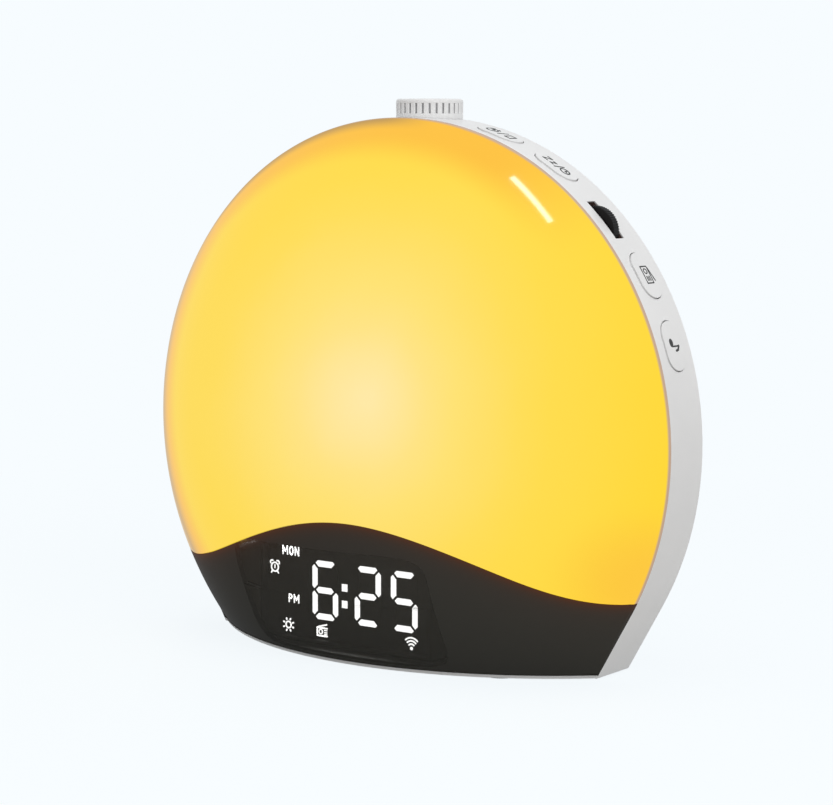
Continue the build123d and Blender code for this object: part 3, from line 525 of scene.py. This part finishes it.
class Finish:
    """A material with one Principled shader and helpers for its detail."""

    def __init__(self, name, colour, roughness, **sockets):
        self.material = bpy.data.materials.new(name)
        self.material.use_nodes = True
        self.tree = self.material.node_tree
        self.shader = self.tree.nodes["Principled BSDF"]
        self.set("Base Color", (*colour, 1))
        self.set("Roughness", roughness)
        for key, value in sockets.items():
            self.set(key.replace("_", " "), value)
        self.place = self.node("ShaderNodeTexCoord").outputs["Object"]

    def set(self, name, value):
        """Gives an input of the shader this value."""
        self.shader.inputs[name].default_value = value

    def drive(self, name, value):
        """Links an output to an input of the shader."""
        self.tree.links.new(value, self.shader.inputs[name])

    def node(self, kind, settings=None, **sockets):
        return add_node(self.tree, kind, settings, **sockets)

    def math(self, operation, first, second):
        return self.node("ShaderNodeMath", {"operation": operation}, _0=first, _1=second).outputs[0]

    def times(self, first, second):
        return self.math("MULTIPLY", first, second)

    def vector(self, operation, *terms):
        """A vector, or else a number for LENGTH, DISTANCE and DOT_PRODUCT."""
        sockets = {f"_{i}": term for i, term in enumerate(terms)}
        outputs = self.node("ShaderNodeVectorMath", {"operation": operation}, **sockets).outputs
        return outputs["Value" if operation in ("LENGTH", "DISTANCE", "DOT_PRODUCT") else "Vector"]

    def noise(self, scale, detail, roughness=0.5):
        sockets = {"Vector": self.place, "Scale": scale, "Detail": detail, "Roughness": roughness}
        return self.node("ShaderNodeTexNoise", **sockets).outputs["Fac"]

    def spread(self, value, low, high):
        """Maps 0..1 to low..high."""
        return self.node("ShaderNodeMapRange", Value=value, _3=low, _4=high).outputs[0]

    def ramp(self, value, stops):
        """Colour by a value, from (place, colour) stops."""
        node = self.node("ShaderNodeValToRGB", Fac=value)
        points = node.color_ramp.elements
        for place, _ in stops[2:]:
            points.new(place)
        for point, (place, colour) in zip(points, stops):
            point.position = place
            point.color = (*colour, 1)
        return node.outputs[0]

    def bump(self, height, depth):
        node = self.node("ShaderNodeBump", Height=height, Distance=depth, Strength=1.0)
        self.drive("Normal", node.outputs[0])

    def flat_from(self, x, z):
        """Vector in the front view from a point, in millimetres, to the surface."""
        moved = self.vector("SUBTRACT", self.place, (x * mm, 0, z * mm))
        return self.vector("MULTIPLY", moved, (1, 0, 1))

    def coordinates(self):
        """Across, depth and height of the surface point, in metres."""
        return self.node("ShaderNodeSeparateXYZ", Vector=self.place).outputs

    def ease(self, value, low, high):
        """0 up to low and 1 from high, with a smooth change between."""
        node = self.node(
            "ShaderNodeMapRange", {"interpolation_type": "SMOOTHSTEP"},
            Value=value, From_Min=low, From_Max=high, To_Min=0.0, To_Max=1.0,
        )
        return node.outputs[0]

    def fade(self, value, low, high):
        """1 up to low and 0 from high, with a smooth change between."""
        return self.math("SUBTRACT", 1.0, self.ease(value, low, high))

    def blend(self, share, first, second):
        """Colour that goes from the first to the second as the share goes from 0 to 1."""
        node = self.node("ShaderNodeMix", {"data_type": "RGBA"}, Factor=share)
        for socket, colour in ((node.inputs[6], first), (node.inputs[7], second)):
            if isinstance(colour, bpy.types.NodeSocket):
                self.tree.links.new(colour, socket)
            else:
                socket.default_value = (*colour, 1)
        return node.outputs[2]

    def moulded(self, colour, grain, depth, tone):
        """Fine spark texture, slight flow marks in the gloss and a faint change of tone."""
        rough = self.shader.inputs["Roughness"].default_value
        self.drive("Roughness", self.spread(self.noise(55.0, 2.0), rough - 0.05, rough + 0.05))
        self.bump(self.noise(grain, 2.0), depth)
        darker = [part * (1 - tone) for part in colour]
        lighter = [min(part * (1 + tone), 1) for part in colour]
        self.drive("Base Color", self.ramp(self.noise(28.0, 3.0), [(0.3, darker), (0.7, lighter)]))
        return self

    def shade(self, share, colour):
        """Paints shade: blends the base colour made so far into this one."""
        base = self.shader.inputs["Base Color"].links[0].from_socket
        self.drive("Base Color", self.blend(share, base, colour))


def moulded_plastic(name, colour, roughness, grain, depth, tone, specular=0.5):
    """Plain moulded plastic, rubber, paper or foam."""
    finish = Finish(name, colour, roughness, Specular_IOR_Level=specular)
    return finish.moulded(colour, grain, depth, tone).material


shell_white = (0.82, 0.82, 0.82)


def white_shell():
    """White moulded plastic, with dark painted shade inside the slot of the volume wheel."""
    finish = Finish("white_shell", shell_white, 0.42).moulded(shell_white, 2200.0, 0.00002, 0.03)
    # Painted shade: the walls just inside the wheel's slot are darkened to a brown.
    turn = radians(wheel_angle)
    slot = Vector((case_radius * cos(turn), wheel_y, axis_z + case_radius * sin(turn))) * mm
    near = finish.fade(finish.vector("DISTANCE", finish.place, slot), 8.0 * mm, 9.0 * mm)
    radius = finish.vector("LENGTH", finish.flat_from(0.0, axis_z))
    inside = finish.fade(radius, 89.4 * mm, 89.95 * mm)
    finish.shade(finish.times(near, inside), (0.10, 0.06, 0.05))
    return finish.material


def fluted_white():
    """White plastic of the dial, with painted shade at the bottom of its grooves."""
    finish = Finish("white_dial", shell_white, 0.38).moulded(shell_white, 2400.0, 0.000012, 0.03)
    moved = finish.vector("SUBTRACT", finish.place, (0, dial_y * mm, 0))
    radius = finish.vector("LENGTH", finish.vector("MULTIPLY", moved, (1, 1, 0)))
    _, _, height = finish.coordinates()
    # Painted shade at the bottom of the grooves, below the top rounding.
    painted_groove_shade = finish.fade(radius, 9.15 * mm, 9.6 * mm)
    fluted = finish.math("LESS_THAN", height, (dial_top - 1.1) * mm)
    finish.shade(finish.times(painted_groove_shade, fluted), (0.36, 0.36, 0.37))
    return finish.material


def metal(name, colour, roughness):
    """Metal with fine turning marks."""
    finish = Finish(name, colour, roughness, Metallic=1.0)
    marks = finish.noise(900.0, 4.0, 0.6)
    finish.drive("Roughness", finish.spread(marks, roughness - 0.08, roughness + 0.1))
    finish.bump(marks, 0.000006)
    return finish.material


def glowing_opal():
    """Lit diffuser: palest before the lamp, deeper away from it, amber at the top edge, dull at the rim."""
    body = (0.05, 0.035, 0.008)
    finish = Finish("opal_glow", body, 0.5, Specular_IOR_Level=0.0, Coat_Weight=0.4, Coat_Roughness=0.06)
    across, depth, height = finish.coordinates()
    # Colour by the distance from the lamp, counted longer on its right
    lamp = finish.flat_from(*lamp_centre)
    wider = finish.vector("MULTIPLY", finish.vector("ABSOLUTE", lamp), (0.25, 0, 0))
    spread = finish.vector("MULTIPLY_ADD", lamp, (1.1, 0, 1.0), wider)
    cloud = finish.times(finish.math("SUBTRACT", finish.noise(22.0, 3.0), 0.5), 0.014)
    share = finish.math("DIVIDE", finish.math("ADD", cloud, finish.vector("LENGTH", spread)), 0.11)
    glow = finish.ramp(
        share,
        [
            (0.0, (0.97, 0.79, 0.368)),
            (0.091, (0.97, 0.77, 0.303)),
            (0.182, (0.97, 0.745, 0.215)),
            (0.273, (0.97, 0.735, 0.160)),
            (0.364, (0.97, 0.715, 0.122)),
            (0.464, (0.97, 0.70, 0.082)),
            (0.56, (0.97, 0.69, 0.058)),
            (0.68, (0.97, 0.68, 0.044)),
            (0.86, (0.97, 0.66, 0.022)),
        ],
    )
    # Amber along the upper left edge, far from the lamp and in the lower right corner
    reach = finish.vector("LENGTH", lamp)
    outward = finish.flat_from(0.0, axis_z)
    radius = finish.vector("LENGTH", outward)
    aim = finish.vector("DOT_PRODUCT", outward, (-0.6, 0, 0.8))
    upper_left = finish.ease(finish.math("DIVIDE", aim, radius), 0.0, 0.5)
    top_edge = finish.times(finish.ease(radius, 77 * mm, 86 * mm), upper_left)
    far_edge = finish.ease(reach, 84 * mm, 96 * mm)
    corner = finish.vector("LENGTH", finish.flat_from(*diffuser_corner))
    low_right = finish.times(finish.fade(corner, 6 * mm, 27 * mm), 0.7)
    edges = finish.math("MAXIMUM", finish.math("MAXIMUM", top_edge, far_edge), low_right)
    amber = finish.blend(edges, glow, (0.95, 0.51, 0.035))
    # Dull brown at the left rim and furthest from the lamp, with a paler line at the very end
    left_half = finish.fade(across, -5 * mm, 15 * mm)
    outer = finish.times(finish.ease(radius, 86.4 * mm, 90.3 * mm), left_half)
    dim = finish.math("MAXIMUM", finish.ease(reach, 93 * mm, 107 * mm), finish.times(outer, 0.95))
    dull = finish.blend(dim, amber, (0.42, 0.25, 0.08))
    pale_rim = finish.times(finish.ease(reach, 102 * mm, 108 * mm), 0.65)
    faded = finish.blend(pale_rim, dull, (0.75, 0.48, 0.16))
    # Unlit skirt, which begins sooner at the top
    sooner = finish.times(finish.ease(height, 132 * mm, 152 * mm), 0.8 * mm)
    skirt = finish.ease(finish.math("ADD", depth, sooner), 1.3 * mm, 2.5 * mm)
    finish.drive("Emission Color", finish.blend(skirt, faded, (0.30, 0.175, 0.095)))
    finish.drive("Base Color", finish.blend(skirt, body, (0.28, 0.23, 0.20)))
    finish.set("Emission Strength", 1.0)
    return finish.material


def smoked_black(name, tint, cover):
    """Glossy smoked plastic with a painted glow, of light from the dome, along the wave. Each skin covers
    this share of what is behind.
    """
    finish = Finish(name, tint, 0.5, Specular_IOR_Level=0.0, Coat_Weight=0.08, Coat_Roughness=0.04)
    finish.drive("Roughness", finish.spread(finish.noise(60.0, 2.0), 0.45, 0.55))
    # Painted glow: emission near the wave, with the base colour turned black there.
    painted_glow = finish.node("ShaderNodeAttribute", {"attribute_name": "painted_wave_glow"}).outputs["Fac"]
    finish.drive("Base Color", finish.blend(painted_glow, tint, (0, 0, 0)))
    finish.drive("Emission Color", finish.blend(painted_glow, (0, 0, 0), (0.088, 0.026, 0.009)))
    finish.set("Emission Strength", 1.0)
    finish.set("Alpha", cover)
    return finish.material


def lit(name, colour, strength):
    """Light source with a slightly uneven face."""
    finish = Finish(name, [part * 0.5 for part in colour], 0.5)
    duller = [part * 0.94 for part in colour]
    finish.drive("Emission Color", finish.ramp(finish.noise(400.0, 2.0), [(0.2, duller), (0.8, colour)]))
    finish.set("Emission Strength", strength)
    return finish.material


def circuit_board(name, colour, copper):
    """Lacquered board with faint tracks under the lacquer."""
    finish = Finish(name, colour, 0.35, Specular_IOR_Level=0.5)
    tracks = finish.node(
        "ShaderNodeTexBrick", Vector=finish.place, Scale=220.0, Mortar_Size=0.03, Color1=(0, 0, 0, 1),
        Color2=(0, 0, 0, 1), Mortar=(1, 1, 1, 1),
    ).outputs["Color"]
    finish.drive("Base Color", finish.ramp(tracks, [(0.0, colour), (1.0, copper)]))
    finish.bump(tracks, 0.00002)
    return finish.material


# Colour, roughness, scale and depth of the grain, change of tone
moulded_looks = {
    "white_button": (shell_white, 0.36, 2600.0, 0.000012, 0.03),
    "white_reflector": ((0.82, 0.82, 0.80), 0.5, 2200.0, 0.00002, 0.03),
    "grey_rubber": ((0.16, 0.16, 0.165), 0.75, 3000.0, 0.00004, 0.06),
    "black_plastic": ((0.006, 0.005, 0.005), 0.5, 2600.0, 0.00002, 0.15, 0.15),
    "display_black": ((0.008, 0.008, 0.009), 0.6, 2600.0, 0.00002, 0.15),
    "unlit_grey": ((0.012, 0.012, 0.013), 0.55, 2600.0, 0.00001, 0.15),
    "ribbon_white": ((0.62, 0.62, 0.60), 0.5, 1500.0, 0.00003, 0.08),
    "speaker_paper": ((0.030, 0.028, 0.026), 0.85, 900.0, 0.00008, 0.2),
    "black_foam": ((0.015, 0.015, 0.015), 0.95, 1500.0, 0.0002, 0.2),
    "printed_grey": ((0.025, 0.025, 0.025), 0.6, 2600.0, 0.000008, 0.1),
}
finishes = {name: moulded_plastic(name, *look) for name, look in moulded_looks.items()}
finishes |= {
    "opal_diffuser": glowing_opal(),
    "smoked_lens": smoked_black("smoked_black", (0.050, 0.049, 0.043), 1.0),
    "clear_lens": smoked_black("smoked_window", (0.062, 0.061, 0.053), window_cover),
    "white_shell": white_shell(),
    "white_dial": fluted_white(),
    "screw_steel": metal("screw_steel", (0.45, 0.45, 0.46), 0.32),
    "bright_metal": metal("bright_metal", (0.75, 0.75, 0.74), 0.22),
    "speaker_steel": metal("speaker_steel", (0.38, 0.38, 0.39), 0.38),
    "green_board": circuit_board("green_board", (0.010, 0.085, 0.035), (0.03, 0.16, 0.07)),
    "white_board": circuit_board("white_board", (0.75, 0.75, 0.73), (0.65, 0.65, 0.62)),
    "lit_white": lit("lit_white", (1.0, 1.0, 0.98), 7.5),
    "warm_led": lit("warm_led", (1.0, 0.62, 0.22), 2.0),
}

slots = {entry["node"]: entry.get("material_slot") for entry in frame["record"]["subparts"]}
soft_edges = soft_edges_tree()


def dress_nodes():
    """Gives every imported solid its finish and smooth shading."""
    for name, node in frame["nodes"].items():
        finish = finishes[slots[name]]
        if not node.material_slots:
            node.data.materials.append(finish)
        for holder in node.material_slots:
            holder.link = "OBJECT"
            holder.material = finish
        shading = node.modifiers.new("soft_edges", "NODES")
        shading.node_group = soft_edges


def ready(piece, body, slot, *nodes):
    """Puts a finished piece on its body, with its finish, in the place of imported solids."""
    if not piece.data.materials:
        piece.data.materials.append(finishes[slot])
    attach(piece, body)
    if nodes:
        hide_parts(*nodes)


# --- Front ------------------------------------------------

def trough_turn(lift):
    """Direction in degrees, from the axis of the case, to the right end of the wave."""
    return degrees(asin((wave_trough_z + lift - axis_z) / case_radius))


def build_diffuser():
    """Opal dome above the wave."""
    turn = trough_turn(seam)
    rim = rim_run(turn, 180 - turn, diffuser_wall, 420)
    cut = cut_run(wave_run(seam), diffuser_wall)
    piece = front_skin("glowing_diffuser", rim + cut, diffuser_centre, diffuser_wall, 36)
    ready(piece, "housing", "opal_diffuser", "diffuser_dome")


def lens_outline():
    """Edge places round the lens: up the right side, along the wave, down the left side and back."""
    tangent_z = axis_z - case_radius * sin(lean)
    turn = trough_turn(0.0)
    right = side_run(lens_floor, tangent_z, lens_wall, 1)[:-1]
    right += rim_run(-lean_degrees, turn, lens_wall, 6)
    wave = cut_run(wave_run(0.0), lens_wall)[::-1]
    left = rim_run(180 - turn, 180 + lean_degrees, lens_wall, 6)[:-1]
    left += side_run(lens_floor, tangent_z, lens_wall, -1)[::-1]
    floor_line = [(lens_floor_half_width * (step / 32 - 1), lens_floor) for step in range(65)]
    return right + wave + left + cut_run(floor_line, lens_wall)


def mark_window(mesh):
    """Gives the faces inside the clear window the second material."""
    for face in mesh.polygons:
        x, _, z = face.center / mm
        flat = Vector((x - window_x, z - window_z))
        if flat.length < 0.001 or flat.length < window_reach(direction(*flat)):
            face.material_index = 1


def mark_wave(mesh):
    """Gives every point its share of the painted glow, of light from the dome, at the wave."""
    run = [Vector(point) for point in wave_run(0.0, 30)]
    painted_glow = mesh.attributes.new("painted_wave_glow", "FLOAT", "POINT")
    for vertex in mesh.vertices:
        x, _, z = vertex.co / mm
        reach = min((point - Vector((x, z))).length for point in run)
        # Painted glow, strongest right at the wave and fading below it.
        painted_glow.data[vertex.index].value = 0.75 * exp(-reach / 1.3) + 0.13 * exp(-reach / 6.0)


def build_lens():
    """Smoked lens under the wave, with its clear window."""
    piece = front_skin("smoked_front", lens_outline(), (window_x, window_z), lens_wall, 30, 12)
    piece.data.materials.append(finishes["smoked_lens"])
    piece.data.materials.append(finishes["clear_lens"])
    mark_window(piece.data)
    mark_wave(piece.data)
    ready(piece, "housing", "smoked_lens", "display_lens")


# --- Display symbols --------------------------------------

def on_display(x, z, level):
    """A point of the display's face, level in front of it."""
    return x, display_face_y - level, z


def letter_strokes():
    """Middle lines of the display's letters, in a box one wide and one high."""
    bowl = [(0, 1), (0.6, 1), (0.92, 0.88), (1, 0.74), (0.92, 0.6), (0.6, 0.48), (0, 0.48)]
    return {
        "M": [[(0, 0), (0, 1)], [(0, 1), (0.5, 0.35)], [(0.5, 0.35), (1, 1)], [(1, 1), (1, 0)]],
        "N": [[(0, 0), (0, 1)], [(0, 1), (1, 0)], [(1, 0), (1, 1)]],
        "O": [arc(0.5, 0.5, 0.5, 0, 360, 16)],
        "P": [[(0, 0), (0, 1)], bowl],
    }


def word(text, place, height, line):
    """Outlines of the letters of a word, from the foot of its first letter's middle line."""
    left, low = place
    shapes = []
    for letter in text:
        width = letter_widths[letter]
        for run in letter_strokes()[letter]:
            shapes += lines([(left + x * width, low + z * height) for x, z in run], line)
        left += width + letter_gap
    return shapes


def alarm_icon(x, z):
    """Alarm clock: ring, two bells, a hand and two feet."""
    shapes = [
        stroke(arc(x, z, 1.3, 0, 359, 28), display_line),
        stroke(arc(x - 1.05, z + 1.3, 0.6, 60, 205, 8), display_line),
        stroke(arc(x + 1.05, z + 1.3, 0.6, -25, 120, 8), display_line),
        stroke([(x, z + 0.6), (x, z - 0.3)], display_line * 0.8),
    ]
    for side in (-1, 1):
        shapes.append(stroke([(x + side * 0.9, z - 1.1), (x + side * 1.3, z - 1.7)], display_line))
    return shapes


def brightness_icon(x, z):
    """Ring with rays."""
    shapes = [stroke(arc(x, z, 0.95, 0, 359, 24), display_line)]
    for step in range(8):
        turn = (step + 0.5) * pi / 4
        ray = [(x + reach * cos(turn), z + reach * sin(turn)) for reach in (1.65, 1.95)]
        shapes.append(stroke(ray, display_line * 1.1))
    return shapes


def radio_icon(x, z):
    """Radio set: box open on its right, aerial, loudspeaker and three lines."""
    box = [(x + 1.8, z + 0.9), (x - 1.8, z + 0.9), (x - 1.8, z - 1.4), (x + 1.8, z - 1.4)]
    shapes = lines(box, display_line)
    shapes.append(stroke([(x - 1.3, z + 1.2), (x + 1.6, z + 2.0)], display_line))
    shapes.append(stroke(arc(x - 0.55, z - 0.2, 0.65, 0, 359, 16), display_line * 0.8))
    for lift in (0.3, -0.35, -0.9):
        shapes.append(stroke([(x + 0.85, z + lift), (x + 1.7, z + lift)], display_line * 0.8))
    return shapes


def signal_icon(x, z):
    """A dot under three arcs."""
    dot = arc(x, z, 0.5, 0, 345, 14)
    return [dot] + [stroke(arc(x, z, radius, 48, 132, 12), display_line) for radius in (1.25, 2.15, 3.05)]


def build_symbols():
    """Lit symbols, the day and the half of the day, on the display's face."""
    shapes = alarm_icon(*alarm_place)
    shapes += brightness_icon(*brightness_place)
    shapes += radio_icon(*radio_place)
    shapes += signal_icon(*signal_place)
    shapes += word("MON", day_place, 2.4, 0.40)
    shapes += word("PM", half_day_place, 2.2, 0.42)
    symbols = plates("display_symbols", shapes, 0.0, 0.1, on_display)
    ready(symbols, "housing", "lit_white")


def build_segment_gaps():
    """Black print that parts the bars of each digit where their points meet."""
    inward = 1.1
    outward = 0.3
    shapes = []
    for centre in digit_centres:
        for side in (-1, 1):
            x = centre + side * digit_half_width
            for up in (-1, 1):
                z = digit_z + up * digit_half_height
                corner = [(x + side * outward, z + up * outward), (x - side * inward, z - up * inward)]
                middle = [(x, digit_z), (x - side * inward, digit_z + up * inward)]
                shapes += [stroke(corner, segment_gap), stroke(middle, segment_gap)]
            shapes.append(stroke([(x + side * inward, digit_z), (x, digit_z)], segment_gap * 0.7))
    piece = plates("segment_gaps", shapes, 0.21, 0.26, on_display)
    ready(piece, "housing", "display_black")


# --- Dial and thumbwheel ----------------------------------

def build_dial(rib_ring):
    """Fluted knob, hollow underneath, with a hub for the encoder's shaft."""
    flute_low = dial_bottom + 2.1
    flute_high = dial_top - 1.0
    groove = dial_radius - 0.55
    hollow = 8.1
    roof = 157.9
    hub = 4.8
    hub_bottom = 154.1
    bore = 3.0
    profile = [(0, dial_top)]
    profile += rounded((0, dial_top), (dial_radius, dial_top), (dial_radius, dial_top - 2), 1.0, 8)
    profile += [(dial_radius, flute_high - 0.25), (groove, flute_high - 0.45)]
    profile += [(groove, flute_low + 0.2), (dial_radius, flute_low)]
    profile += rounded((dial_radius, flute_low), (dial_radius, dial_bottom), (hollow, dial_bottom), 0.25, 3)
    profile += [(hollow, dial_bottom), (hollow, roof), (hub, roof), (hub, hub_bottom)]
    profile += [(bore, hub_bottom), (bore, roof), (0, roof)]
    knob = lathe("fluted_dial", profile, 180, Matrix.Translation((0, dial_y, 0)))
    ribs = rib_ring.piece(
        "dial_ribs", Ribs=30, Ring_radius=9.05 * mm, Rib_width=1.5 * mm, Rib_depth=1.3 * mm,
        Rib_height=(flute_high - flute_low) * mm, Edge_radius=0.3 * mm, Material=finishes["white_dial"],
    )
    ribs.data.transform(Matrix.Translation((0, dial_y * mm, flute_low * mm)))
    join_into(knob, ribs)
    ready(knob, "dial", "white_dial", "dial")


def build_wheel(rib_ring):
    """Knurled wheel on an axis that runs from front to back."""
    turn = radians(wheel_angle)
    centre = Vector((wheel_centre * cos(turn), wheel_y, axis_z + wheel_centre * sin(turn)))
    upright = Matrix.Rotation(radians(90), 4, "X")
    hole = 1.2
    half = 1.5
    profile = [(hole, half)]
    profile += rounded((hole, half), (wheel_radius, half), (wheel_radius, -half), 0.3, 3)
    profile += rounded((wheel_radius, half), (wheel_radius, -half), (hole, -half), 0.3, 3)
    profile += [(hole, -half), (hole, half)]
    wheel = lathe("ridged_wheel", profile, 128, Matrix.Translation(centre) @ upright)
    ridge_height = 2.7
    ridges = rib_ring.piece(
        "wheel_ridges", Ribs=60, Ring_radius=6.8 * mm, Rib_width=0.42 * mm, Rib_depth=0.38 * mm,
        Rib_height=ridge_height * mm, Edge_radius=0.12 * mm, Material=finishes["black_plastic"],
    )
    low = Matrix.Translation((0, 0, -ridge_height / 2 * mm))
    ridges.data.transform(Matrix.Translation(centre * mm) @ upright @ low)
    join_into(wheel, ridges)
    ready(wheel, "volume_wheel", "black_plastic", "thumbwheel")


# --- Symbols on the buttons -------------------------------

def on_button(name):
    """Where a point of a button's printed symbol goes: across runs down the side, up to the back."""
    scale = symbol_scales[name]

    def bend(across, up, level):
        turn = radians(button_angles[name]) - scale * across / button_face
        reach = button_face + level
        return reach * cos(turn), control_y + scale * up, axis_z + reach * sin(turn)
    return bend


def button_symbols():
    """Outlines of each button's printed symbol: an alarm and a page, sleep, a radio and a note."""
    thin = 0.32
    box = [(-1.9, -1.2), (1.9, -1.2), (1.9, 1.1), (-1.9, 1.1), (-1.9, -1.2)]
    page = [(1.6, -1.1), (2.8, -1.1), (2.8, 1.0), (1.6, 1.0), (1.6, -1.1)]
    return {
        "alarm_button": [
            stroke(arc(-2.0, 0.0, 1.1, 0, 359, 20), thin),
            *lines([(-2.0, 0.7), (-2.0, 0.0), (-1.4, 0.0)], thin),
            stroke([(-3.0, 1.1), (-2.5, 1.5)], thin),
            stroke([(-1.5, 1.5), (-1.0, 1.1)], thin),
            stroke([(0.1, -1.3), (0.7, 1.3)], thin),
            *lines(page, thin),
        ],
        "sleep_button": [
            *lines([(-3.2, 1.0), (-2.0, 1.0), (-3.2, -0.8), (-2.0, -0.8)], thin),
            *lines([(-1.3, 0.5), (-0.5, 0.5), (-1.3, -0.8), (-0.5, -0.8)], thin),
            stroke([(0.2, -1.3), (0.8, 1.3)], thin),
            stroke(arc(2.1, 0.0, 1.0, 0, 359, 18), thin),
            *lines([(2.1, 0.6), (2.1, 0.0), (2.6, 0.0)], thin),
        ],
        "radio_button": [
            *lines(box, thin * 0.85),
            stroke([(-1.5, 1.2), (1.4, 2.0)], thin),
            stroke(arc(-0.8, -0.05, 0.55, 0, 359, 14), thin * 0.8),
            *[stroke([(0.4, z), (1.3, z)], thin * 0.8) for z in (0.5, 0.0, -0.5)],
        ],
        "music_button": [
            [(x * 0.85 - 0.6, z * 0.62 - 1.0) for x, z in arc(0, 0, 1.0, 20, 360, 16)],
            stroke([(0.15, -0.9), (0.15, 1.5)], thin),
            *lines([(0.15, 1.45), (0.9, 0.9), (1.05, 0.2)], thin * 1.5),
        ],
    }


def build_button_symbols():
    """Prints each symbol on its button."""
    for name, shapes in button_symbols().items():
        print_piece = plates(name + "_symbol", shapes, -0.05, 0.05, on_button(name))
        ready(print_piece, name, "printed_grey")


dress_nodes()
rib_ring = rib_ring_tree()
build_diffuser()
build_lens()
build_symbols()
build_segment_gaps()
build_dial(rib_ring)
build_wheel(rib_ring)
build_button_symbols()


# --- Floor, light and camera ------------------------------

backdrop = linear(247, 252, 255)
open_floor = 0.82     # light on the open floor, as a share of white
shadow_share = 0.10   # how much of the floor's brightness a full shadow takes away
floor_fade = (0.16, 0.40)   # distances between which the floor turns into the backdrop
floor_reach = 6.0

lamp_target = (0, 0, 0.08)
# The tube's bright line on the dome: ends, middle and mirrored views
line_ends = (Vector((0.04325, -0.00389, 0.13789)), Vector((0.05697, -0.00537, 0.12602)))
line_middle = (0.0504, -0.005, 0.1319)
mirrored_views = (Vector((0.022, -0.2334, 0.9721)), Vector((0.302, -0.36, 0.8827)))
tube_width = 0.024
tube_radiance = 32.0

camera_place = (0.41561, -0.55481, 0.15166)
camera_pitch = -0.1133
camera_heading = 0.6335
camera_lens = 104.97


def seen_directly(tree):
    """1 for camera, mirror and see-through rays, 0 for the rays that carry light."""
    rays = add_node(tree, "ShaderNodeLightPath").outputs
    direct = rays["Is Camera Ray"]
    for ray in ("Is Glossy Ray", "Is Transmission Ray"):
        either = add_node(tree, "ShaderNodeMath", {"operation": "MAXIMUM"}, _0=direct, _1=rays[ray])
        direct = either.outputs[0]
    return direct


def build_floor():
    """Pale floor as bright as the backdrop, darker only where the clock keeps the light off."""
    mesh = bpy.data.meshes.new("floor")
    corners = [(x * floor_reach, y * floor_reach, 0) for x, y in ((-1, -1), (1, -1), (1, 1), (-1, 1))]
    mesh.from_pydata(corners, [], [(0, 1, 2, 3)])
    floor = added("floor", mesh)
    finish = Finish("floor_paper", (0.46, 0.45, 0.44), 0.9, Specular_IOR_Level=0.1)

    def shader(kind, **sockets):
        return finish.node(kind, **sockets).outputs[0]

    shadow = [part * shadow_share for part in backdrop]
    shaded = shader("ShaderNodeBsdfDiffuse", Color=(*shadow, 1))
    unshaded = 1.0 - shadow_share * open_floor
    lifted = shader("ShaderNodeEmission", Color=(*backdrop, 1), Strength=unshaded)
    near = shader("ShaderNodeAddShader", _0=shaded, _1=lifted)
    far = shader("ShaderNodeEmission", Color=(*backdrop, 1), Strength=1.0)
    away = finish.ease(finish.vector("LENGTH", finish.place), *floor_fade)
    paper = shader("ShaderNodeMixShader", _0=away, _1=near, _2=far)
    direct = seen_directly(finish.tree)
    mix = shader("ShaderNodeMixShader", _0=direct, _1=finish.shader.outputs[0], _2=paper)
    finish.tree.links.new(mix, finish.tree.nodes["Material Output"].inputs[0])
    mesh.materials.append(finish.material)


def build_world():
    """Even light from all round, and the backdrop where it is seen directly."""
    world = bpy.data.worlds.new("studio")
    world.use_nodes = True
    bpy.context.scene.world = world
    tree = world.node_tree
    plain = tree.nodes["Background"]
    plain.inputs["Color"].default_value = (0.985, 0.98, 0.975, 1)
    plain.inputs["Strength"].default_value = 0.55
    seen = add_node(tree, "ShaderNodeBackground", Color=(*backdrop, 1))
    direct = seen_directly(tree)
    mix = add_node(tree, "ShaderNodeMixShader", _0=direct, _1=plain.outputs[0], _2=seen.outputs[0])
    tree.links.new(mix.outputs[0], tree.nodes["World Output"].inputs[0])


def area_light(name, place, target, size, power, along=None):
    """Rectangular lamp that faces a target, its long side turned along a direction."""
    lamp = bpy.data.lights.new(name, "AREA")
    lamp.shape = "RECTANGLE"
    lamp.size, lamp.size_y = size
    lamp.energy = power
    holder = added(name, lamp)
    back = (Vector(place) - Vector(target)).normalized()
    side = Vector(along).normalized() if along else Vector((0, 0, 1)).cross(back).normalized()
    side = (side - back * side.dot(back)).normalized()
    up = back.cross(side)
    turned = Matrix((side, up, back)).transposed().to_4x4()
    holder.matrix_world = Matrix.Translation(place) @ turned
    return holder


def build_lights():
    """A large soft lamp from the right, a smaller one above, and the tube that the dome mirrors."""
    side = area_light("soft_side", (0.98, -0.48, 0.64), lamp_target, (0.9, 0.9), 5.9)
    top = area_light("soft_top", (-0.1, -0.2, 1.35), lamp_target, (0.8, 0.8), 3.2)
    start, end = [place + view for place, view in zip(line_ends, mirrored_views)]
    length = (end - start).length
    power = 4 * tube_radiance * length * tube_width
    tube = area_light("tube", (start + end) / 2, line_middle, (length, tube_width), power, end - start)
    tube.visible_diffuse = False
    for lamp in (side, top):
        lamp.visible_glossy = False
    for lamp in (side, top, tube):
        lamp.visible_camera = False


def build_camera():
    """Camera in front of the clock, to its right."""
    camera = bpy.data.cameras.new("camera")
    camera.lens = camera_lens
    camera.sensor_width = 36.0
    camera.clip_start = 0.01
    holder = added("camera", camera)
    holder.location = camera_place
    holder.rotation_euler = (pi / 2 + camera_pitch, 0, camera_heading)
    bpy.context.scene.camera = holder


build_floor()
build_world()
build_lights()
build_camera()
bpy.context.scene.view_settings.view_transform = "Standard"
